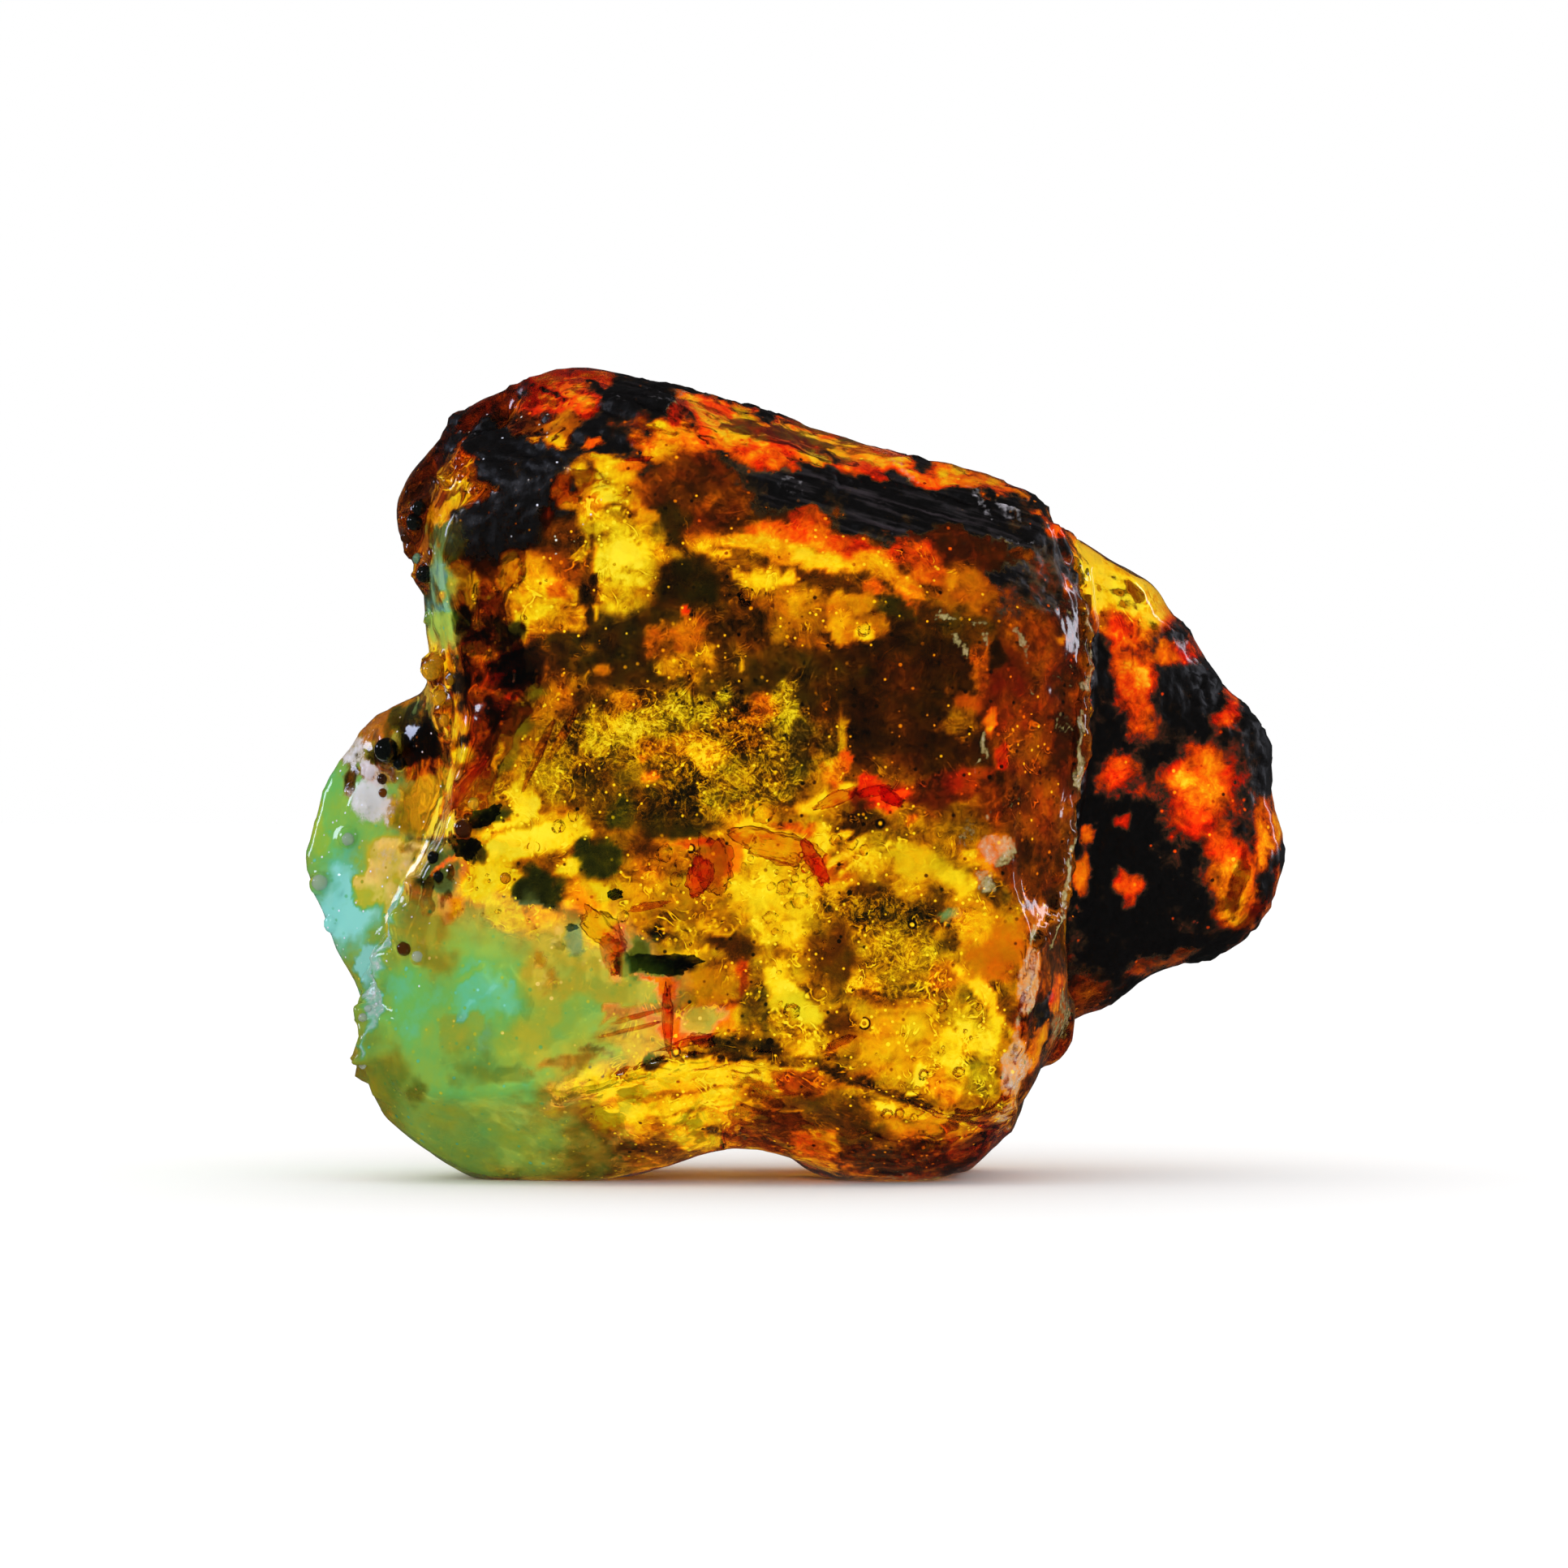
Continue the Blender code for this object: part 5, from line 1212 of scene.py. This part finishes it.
    sheen = addNode(tree, "ShaderNodeMath", {0: sheen, 1: painted["furrow"]}, operation="MULTIPLY")
    dark, light = [linear(shade) for shade in look["crustColours"]]
    crust = addNode(tree, "ShaderNodeMix", {0: noises["grain"], 6: dark, 7: light},
                    data_type="RGBA").outputs[2]
    crust = addNode(tree, "ShaderNodeMix", {0: sheen, 6: crust, 7: linear(look["sheenColour"])},
                    data_type="RGBA").outputs[2]

    # frosted edges with painted highlights and painted sheen, and bluish dust with painted sparkles
    frostAndSheen = painted["wearAndSheen"]
    for source, sway in zip((uneven, grainy), look["frostAndSheenSway"]):
        frostAndSheen = addNode(tree, "ShaderNodeMath", {0: source, 1: sway, 2: frostAndSheen}, operation="MULTIPLY_ADD")
    start, end, whitest = look["frostAndSheen"]
    frostAndSheen = addNode(tree, "ShaderNodeMapRange", {
        "Value": frostAndSheen, "From Min": start, "From Max": end, "To Max": whitest,
    }, interpolation_type="SMOOTHSTEP")
    sparklyDustMask = addNode(tree, "ShaderNodeMath", {0: chances["dust"], 1: painted["dust"]}, operation="LESS_THAN")
    sparklyDustMask = addNode(tree, "ShaderNodeMath", {0: sparklyDustMask, 1: dots["dust"]}, operation="MULTIPLY")

    for share, coat in (
        (painted["milk"], milky),
        (burnt, crust),
        (frostAndSheen, linear(look["frostAndSheenColour"])),
        (sparklyDustMask, linear(look["sparklyDustColour"])),
    ):
        colour = addNode(tree, "ShaderNodeMix", {0: share, 6: colour, 7: coat}, data_type="RGBA").outputs[2]

    # burnt crust, frost, painted highlights and sheen, dust with its painted sparkles, and milky resin all
    # let less through
    dull = addNode(tree, "ShaderNodeMath", {0: burnt, 1: frostAndSheen}, operation="MAXIMUM")
    milkiness = addNode(tree, "ShaderNodeMath", {0: painted["milk"], 1: look["milkDulling"]},
                        operation="MULTIPLY")
    solid = dull
    for other in (sparklyDustMask, milkiness):
        solid = addNode(tree, "ShaderNodeMath", {0: solid, 1: other}, operation="MAXIMUM")
    clear = addNode(tree, "ShaderNodeMath", {0: 1.0, 1: solid}, operation="SUBTRACT", use_clamp=True)
    rough = addNode(tree, "ShaderNodeMath", {0: painted["crust"], 1: dull}, operation="MAXIMUM")
    least, most = look["roughness"]
    rough = addNode(tree, "ShaderNodeMapRange", {"Value": rough, "To Min": least, "To Max": most})
    least, most = look["pitting"]
    pitted = addNode(tree, "ShaderNodeMapRange", {"Value": painted["crust"], "To Min": least, "To Max": most})
    bump = addNode(tree, "ShaderNodeBump", {
        "Height": noises["pits"], "Distance": look["pitDepth"] * mm, "Strength": pitted,
    })
    shader = addNode(tree, "ShaderNodeBsdfPrincipled", {
        "Base Color": colour, "Roughness": rough, "IOR": look["ior"], "Transmission Weight": clear,
        "Normal": bump,
    })
    inside = addNode(tree, "ShaderNodeVolumeAbsorption", {
        "Color": linear(look["absorption"]), "Density": look["absorptionDensity"],
    })
    addNode(tree, "ShaderNodeOutputMaterial", {"Surface": shader, "Volume": inside})
    return material


def dress(piece, material):
    piece.data.materials.clear()
    piece.data.materials.append(material)
    piece.data.shade_smooth()


dress(stone, makeAmber())
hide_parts("rough_amber")
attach(stone, "root")
print("amber dressed")


# What the resin has sealed in, joined into one piece for each kind. Each lies behind a photo pixel, at a
# depth in mm below the face; its half lengths are in photo pixels: along, up and through
sealed = {
    "leafCrumbs": [
        # pixel, depth, half lengths, turn in degrees
        ((602, 1006), 1.2, (20, 9, 8), 25), ((580, 1047), 1.0, (14, 13, 9), 0),
        ((822, 1189), 2.2, (38, 12, 12), 0), ((758, 1100), 1.8, (9, 6, 6), 0),
        ((705, 1142), 1.0, (7, 4, 4), 10), ((772, 1188), 1.4, (12, 14, 9), 0),
        ((652, 1240), 3.5, (8, 14, 6), 0), ((690, 1165), 2.0, (7, 5, 5), 0),
    ],
    "splinters": [
        # the same, and how red
        ((880, 1064), 1.2, (22, 31, 9), 10, 0.15), ((862, 1080), 1.0, (14, 24, 7), -20, 0.7),
        ((958, 1044), 2.0, (50, 17, 9), -14, 0.1), ((1002, 1062), 1.6, (30, 9, 6), -62, 0.6),
        ((745, 1146), 1.2, (33, 17, 9), -46, 0.0), ((758, 1176), 1.4, (14, 24, 7), 12, 0.5),
        ((824, 1258), 0.8, (6, 42, 5), 3, 0.4), ((850, 1286), 0.9, (34, 5, 4), 16, 0.4),
        ((790, 1252), 1.2, (38, 3, 3), 14, 0.4), ((775, 1270), 1.4, (44, 2.6, 3), 12, 0.5),
        ((578, 966), 1.0, (50, 8, 5), 53, 0.4), ((1078, 976), 1.6, (22, 6, 5), 8, 0.6),
        ((1098, 984), 2.0, (15, 7, 5), -30, 1.0), ((1030, 985), 1.8, (28, 7, 5), 24, 0.3),
        ((1035, 1284), 1.0, (18, 5, 4), 24, 0.3), ((700, 905), 2.2, (34, 5, 4), 62, 0.2),
        ((668, 930), 2.0, (40, 5, 4), 66, 0.2), ((787, 571), 1.2, (15, 4, 4), 8, 0.6),
        ((800, 1115), 1.6, (22, 5, 5), 10, 0.4), ((868, 1284), 1.2, (16, 8, 5), -20, 0.3),
    ],
    "tornness": {"leafCrumbs": 0.55, "splinters": 0.4},
}
bubbles = {
    "single": [
        # pixel, depth, radius
        ((920, 734), 1.0, 12), ((1064, 775), 0.8, 9), ((940, 1002), 1.0, 15), ((690, 1018), 0.9, 9),
        ((708, 1004), 1.1, 8), ((966, 1092), 1.0, 10), ((986, 1108), 1.2, 12), ((1000, 1086), 1.0, 8),
        ((950, 1130), 0.9, 9), ((820, 1050), 0.9, 11), ((842, 1062), 0.9, 12), ((806, 1064), 1.0, 9),
        ((834, 1082), 1.2, 9), ((1136, 1324), 0.8, 7), ((1093, 1369), 0.6, 8), ((1108, 1368), 0.6, 7),
        ((1126, 1373), 0.6, 6), ((930, 876), 1.5, 8), ((976, 1246), 1.0, 10), ((1180, 1320), 1.0, 8),
        ((1206, 1240), 1.0, 6), ((1160, 1240), 1.6, 8), ((1048, 1040), 1.4, 9), ((1064, 1048), 1.4, 7),
        ((1028, 1036), 1.2, 8), ((768, 1128), 0.8, 8), ((752, 1180), 0.8, 7), ((664, 840), 1.2, 9),
    ],
    "clouds": [
        # middle, half lengths, how many, largest radius, deepest
        ((860, 915), (170, 80), 40, 3.0, 4.0),
        ((1090, 1225), (150, 130), 40, 3.5, 4.0),
        ((640, 1090), (90, 60), 20, 4.0, 2.5),
        ((960, 1090), (70, 60), 30, 6.0, 2.5),
        ((650, 780), (90, 90), 30, 5.0, 2.5),
        ((1000, 800), (200, 70), 30, 3.0, 4.0),
        ((600, 1240), (120, 110), 40, 3.0, 1.5),
    ],
    "seed": 11,
    "shallowest": 0.4,       # mm
    "smallest": 0.35,        # share of the largest radius
    "smallMore": 1.5,        # above 1, small ones outnumber large ones
    "flatness": 0.85,
    "tornness": 0.25,
    "smoothRadius": 5,       # photo pixels, larger ones get a finer net
}
beads = {
    "each": [
        # pixel, radius in photo pixels, how far out its middle lies as a share of the radius, shade. Beads
        # with a
        # shade of 0.9 and more are near white: painted highlights
        ((475, 925), 15, 0.0, 0.1), ((492, 941), 8, 0.1, 0.1), ((471, 960), 7, 0.1, 0.25),
        ((472, 977), 6, 0.1, 0.4), ((571, 1021), 11, 0.1, 0.3), ((429, 1033), 8, -0.2, 0.95),
        ((392, 1088), 10, -0.2, 0.95), ((514, 1178), 7, -0.2, 0.9), ((497, 1169), 9, 0.0, 0.35),
        ((534, 1055), 8, 0.0, 0.15), ((540, 1080), 7, 0.0, 0.15), ((447, 1254), 6, 0.0, 0.9),
        ((453, 1243), 5, 0.0, 0.9), ((447, 1313), 5, 0.0, 0.9), ((583, 990), 8, -0.2, 0.6),
        ((510, 645), 11, 0.0, 0.2), ((500, 662), 8, 0.0, 0.3), ((516, 625), 9, 0.0, 0.15),
        ((523, 708), 11, 0.0, 0.2), ((514, 688), 7, 0.0, 0.75), ((520, 742), 8, 0.0, 0.6),
        ((541, 815), 11, -0.1, 0.55), ((530, 828), 12, -0.1, 0.6), ((541, 862), 10, -0.1, 0.6),
        ((547, 888), 8, -0.1, 0.55), ((556, 838), 7, -0.1, 0.5), ((622, 1082), 7, -0.2, 0.5),
    ],
    "sink": 0.2,        # share of its radius that every bead lies deeper
    "tornness": 0.06,
}

# The roughness of all lumps, where a ball has the radius 1
lumpNoise = {"scale": 1.7, "apart": (7.3, 1.0, 0.0), "falloff": 0.8, "octaves": 4}


# A torn lump: a ball stretched to its half lengths, turned in the plane of the photo and roughened
def addLump(mesh, middle, halves, turn, torn, seed, level):
    verts = bmesh.ops.create_icosphere(mesh, subdivisions=level, radius=1.0)["verts"]
    spin = Matrix.Rotation(-math.radians(turn), 3, "Y")
    shift = Vector(lumpNoise["apart"]) * seed
    for vert in verts:
        place = vert.co * lumpNoise["scale"] + shift
        push = 1 + torn * noise.fractal(place, lumpNoise["falloff"], octaveStep, lumpNoise["octaves"])
        stretched = Vector((vert.co.x * halves[0], vert.co.y * halves[2], vert.co.z * halves[1]))
        vert.co = (middle + spin @ stretched * push) * mm
    return verts


def finishPiece(name, mesh):
    data = bpy.data.meshes.new(name)
    mesh.to_mesh(data)
    mesh.free()
    piece = bpy.data.objects.new(name, data)
    bpy.context.scene.collection.objects.link(piece)
    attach(piece, "root")
    return piece


def makeSealed(name, kind, tree):
    mesh = bmesh.new()
    baked = mesh.verts.layers.float.new("baked")
    for seed, (pixel, depth, halves, turn, *redness) in enumerate(sealed[kind]):
        spot, _ = surfaceBelow(tree, pixel)
        size = [half * photoView["pixelSize"] for half in halves]
        middle = spot + sightLine(pixel) * (depth + size[2])
        for vert in addLump(mesh, middle, size, turn, sealed["tornness"][kind], seed + 1, 4):
            vert[baked] = redness[0] if redness else 0.0
    return finishPiece(name, mesh)


def makeBubbles(tree):
    draw = random.Random(bubbles["seed"])
    balls = list(bubbles["single"])
    for middle, halves, count, largest, deepest in bubbles["clouds"]:
        for _ in range(count):
            angle = draw.uniform(0, 2 * math.pi)
            reach = math.sqrt(draw.random())
            across = middle[0] + halves[0] * reach * math.cos(angle)
            down = middle[1] + halves[1] * reach * math.sin(angle)
            depth = draw.uniform(bubbles["shallowest"], deepest)
            radius = largest * draw.uniform(bubbles["smallest"], 1.0) ** bubbles["smallMore"]
            balls.append(((across, down), depth, radius))
    mesh = bmesh.new()
    for seed, (pixel, depth, radius) in enumerate(balls):
        spot, _ = surfaceBelow(tree, pixel)
        size = radius * photoView["pixelSize"]
        middle = spot + sightLine(pixel) * (depth + size)
        halves = (size, size * bubbles["flatness"], size)
        level = 3 if radius > bubbles["smoothRadius"] else 2
        addLump(mesh, middle, halves, draw.uniform(0, 90), bubbles["tornness"], seed, level)
    return finishPiece("amber_bubbles", mesh)


def makeBeads(tree):
    mesh = bmesh.new()
    shade = mesh.verts.layers.float.new("shade")
    for seed, (pixel, radius, standing, value) in enumerate(beads["each"]):
        spot, normal = surfaceBelow(tree, pixel)
        if spot is None:
            continue
        size = radius * photoView["pixelSize"]
        middle = spot + normal * size * (standing - beads["sink"])
        for vert in addLump(mesh, middle, (size, size, size), 0, beads["tornness"], seed, 3):
            vert[shade] = value
    return finishPiece("amber_beads", mesh)


# The looks of the small pieces. The value that picks the colour comes from a noise, from what is painted on
# the points, or from both
smallLooks = {
    # Crumbs of leaf and bark, charred to a green black, sealed in while they were damp
    "leaf crumbs in resin": {
        "noise": (0.6, 4.0, 0.0),     # pitch in mm, detail, distortion
        "stops": [(0.3, "#2E5228"), (0.5, "#4C7E3A"), (0.62, "#7CA050"), (0.75, "#B0C070")],
        "shader": {"Roughness": 0.6, "IOR": 1.3},
    },
    # Splinters of older resin, baked red and orange, clear enough to glow where light comes through
    "baked resin splinters": {
        "noise": (1.1, 4.0, 0.8),
        "spread": (1.2, -0.42),       # the noise is multiplied by the first and shifted by the second
        "painted": ("baked", 0.75),   # what is painted on the points, and how much it counts
        "stops": [(0.0, "#FFF2A0"), (0.25, "#FFD768"), (0.5, "#FFB04A"), (0.75, "#FF7A30"), (1.0, "#D8481C")],
        "shader": {"Roughness": 0.12, "IOR": 1.12, "Transmission Weight": 0.8},
    },
    # Droplets trapped in the resin: clear, with the strong bending that gives each a dark rim
    "clear droplets in resin": {
        "noise": (2.0, 1.0, 0.0),
        "stops": [(0.35, "#FFF3B0"), (0.65, "#FFFFFF")],
        "shader": {"Roughness": 0.0, "IOR": 1.4, "Transmission Weight": 1.0},
    },
    # Drops of resin that ran along the rim and set there: dark, gold or milky, and glassy all over. The
    # palest, near white, are painted highlights
    "resin drops": {
        "painted": ("shade", 1.0),
        "stops": [
            (0.0, "#0A0C0A"), (0.2, "#1E2420"), (0.4, "#7A3C08"), (0.5, "#E0A010"), (0.6, "#F0C428"),
            (0.75, "#8CCCA8"), (0.9, "#DCE6E2"),
        ],
        "shader": {"Roughness": 0.05, "IOR": 1.54, "Transmission Weight": 0.75},
    },
}


def makeSmall(name):
    material, tree = newMaterial(name)
    look = smallLooks[name]
    value = 0.0
    if "noise" in look:
        place = addNode(tree, "ShaderNodeTexCoord").outputs["Object"]
        pitch, detail, distortion = look["noise"]
        uneven = addNode(tree, "ShaderNodeTexNoise", {
            "Vector": place, "Scale": perMetre(pitch), "Detail": detail, "Distortion": distortion,
        })
        steepness, start = look.get("spread", (1.0, 0.0))
        value = addNode(tree, "ShaderNodeMath", {0: uneven, 1: steepness, 2: start}, operation="MULTIPLY_ADD")
    if "painted" in look:
        painted, share = look["painted"]
        painted = addNode(tree, "ShaderNodeAttribute", attribute_name=painted).outputs["Fac"]
        value = addNode(tree, "ShaderNodeMath", {0: painted, 1: share, 2: value}, operation="MULTIPLY_ADD")
    colour = addNode(tree, "ShaderNodeValToRGB", {"Fac": value}, look["stops"])
    shader = addNode(tree, "ShaderNodeBsdfPrincipled", {"Base Color": colour} | look["shader"])
    addNode(tree, "ShaderNodeOutputMaterial", {"Surface": shader})
    return material


skinTree = BVHTree.FromObject(stone, bpy.context.evaluated_depsgraph_get())
dress(makeSealed("amber_leaf_crumbs", "leafCrumbs", skinTree), makeSmall("leaf crumbs in resin"))
dress(makeSealed("amber_splinters", "splinters", skinTree), makeSmall("baked resin splinters"))
dress(makeBubbles(skinTree), makeSmall("clear droplets in resin"))
dress(makeBeads(skinTree), makeSmall("resin drops"))
print("crumbs, splinters and bubbles sealed in, drops set on the rim")


# The studio: a white floor and sky, two soft window lights from the left and a strip at the right
studio = {
    "floorSide": 8.0,           # metres
    "floorColour": "#FAFAFA",
    "floor": {"Roughness": 0.9, "Specular IOR Level": 0.1},
    "sky": {"seen": 1.0, "mirrored": 0.035, "else": 1.2},
    "lights": [
        # name, place in metres, side lengths, watts, colour
        ("window", (-0.48, 0.10, 0.20), (0.13, 0.13), 0.5, "#D6DEFF"),
        ("front window", (-0.40, -0.33, 0.30), (0.08, 0.08), 0.3, "#E6EAFF"),
        ("right strip", (0.40, 0.14, 0.14), (0.04, 0.25), 0.2, "#EEF0FF"),
    ],
    "aim": (0, 0, 0.025),       # metres, the middle of the lump
    "bounces": {"max": 14, "transmission": 12, "glossy": 6, "diffuse": 3},
    "brightestIndirect": 4,
    "glossyBlur": 0.5,
}


def makeStudio():
    floorMesh = bmesh.new()
    bmesh.ops.create_grid(floorMesh, x_segments=8, y_segments=8, size=studio["floorSide"] / 2)
    data = bpy.data.meshes.new("floor")
    floorMesh.to_mesh(data)
    floorMesh.free()
    floor = bpy.data.objects.new("floor", data)
    bpy.context.scene.collection.objects.link(floor)
    material, tree = newMaterial("matt white board")
    board = {"Base Color": linear(studio["floorColour"])} | studio["floor"]
    board = addNode(tree, "ShaderNodeBsdfPrincipled", board)
    addNode(tree, "ShaderNodeOutputMaterial", {"Surface": board})
    data.materials.append(material)
    floor.visible_glossy = False     # the polished face would mirror it as a grey veil

    for name, place, sides, watts, colour in studio["lights"]:
        lamp = bpy.data.lights.new(name, "AREA")
        lamp.shape = "RECTANGLE"
        lamp.size, lamp.size_y = sides
        lamp.energy = watts
        lamp.color = linear(colour)[:3]
        light = bpy.data.objects.new(name, lamp)
        light.location = place
        light.visible_diffuse = False        # they draw the glints alone, the sky does the lighting
        light.visible_transmission = False
        towards = Vector(studio["aim"]) - Vector(place)
        light.rotation_euler = towards.to_track_quat("-Z", "Y").to_euler()
        bpy.context.scene.collection.objects.link(light)

    world = bpy.data.worlds.new("white sky")
    bpy.context.scene.world = world
    world.use_nodes = True
    tree = world.node_tree
    tree.nodes.clear()
    path = addNode(tree, "ShaderNodeLightPath").outputs
    mirrored = addNode(tree, "ShaderNodeMath", {0: path["Is Glossy Ray"], 1: path["Is Transmission Ray"]},
                       operation="SUBTRACT", use_clamp=True)
    sky = studio["sky"]
    strength = sky["else"]
    for ray, brightness in ((mirrored, sky["mirrored"]), (path["Is Camera Ray"], sky["seen"])):
        strength = addNode(tree, "ShaderNodeMix", {"Factor": ray, "A": strength, "B": brightness})
    background = addNode(tree, "ShaderNodeBackground", {"Color": linear("#FFFFFF"), "Strength": strength})
    addNode(tree, "ShaderNodeOutputWorld", {"Surface": background})

    scene = bpy.context.scene
    scene.view_settings.view_transform = "Standard"
    scene.cycles.max_bounces = studio["bounces"]["max"]
    scene.cycles.transmission_bounces = studio["bounces"]["transmission"]
    scene.cycles.glossy_bounces = studio["bounces"]["glossy"]
    scene.cycles.diffuse_bounces = studio["bounces"]["diffuse"]
    scene.cycles.sample_clamp_indirect = studio["brightestIndirect"]
    scene.cycles.blur_glossy = studio["glossyBlur"]


makeStudio()
print("studio made")
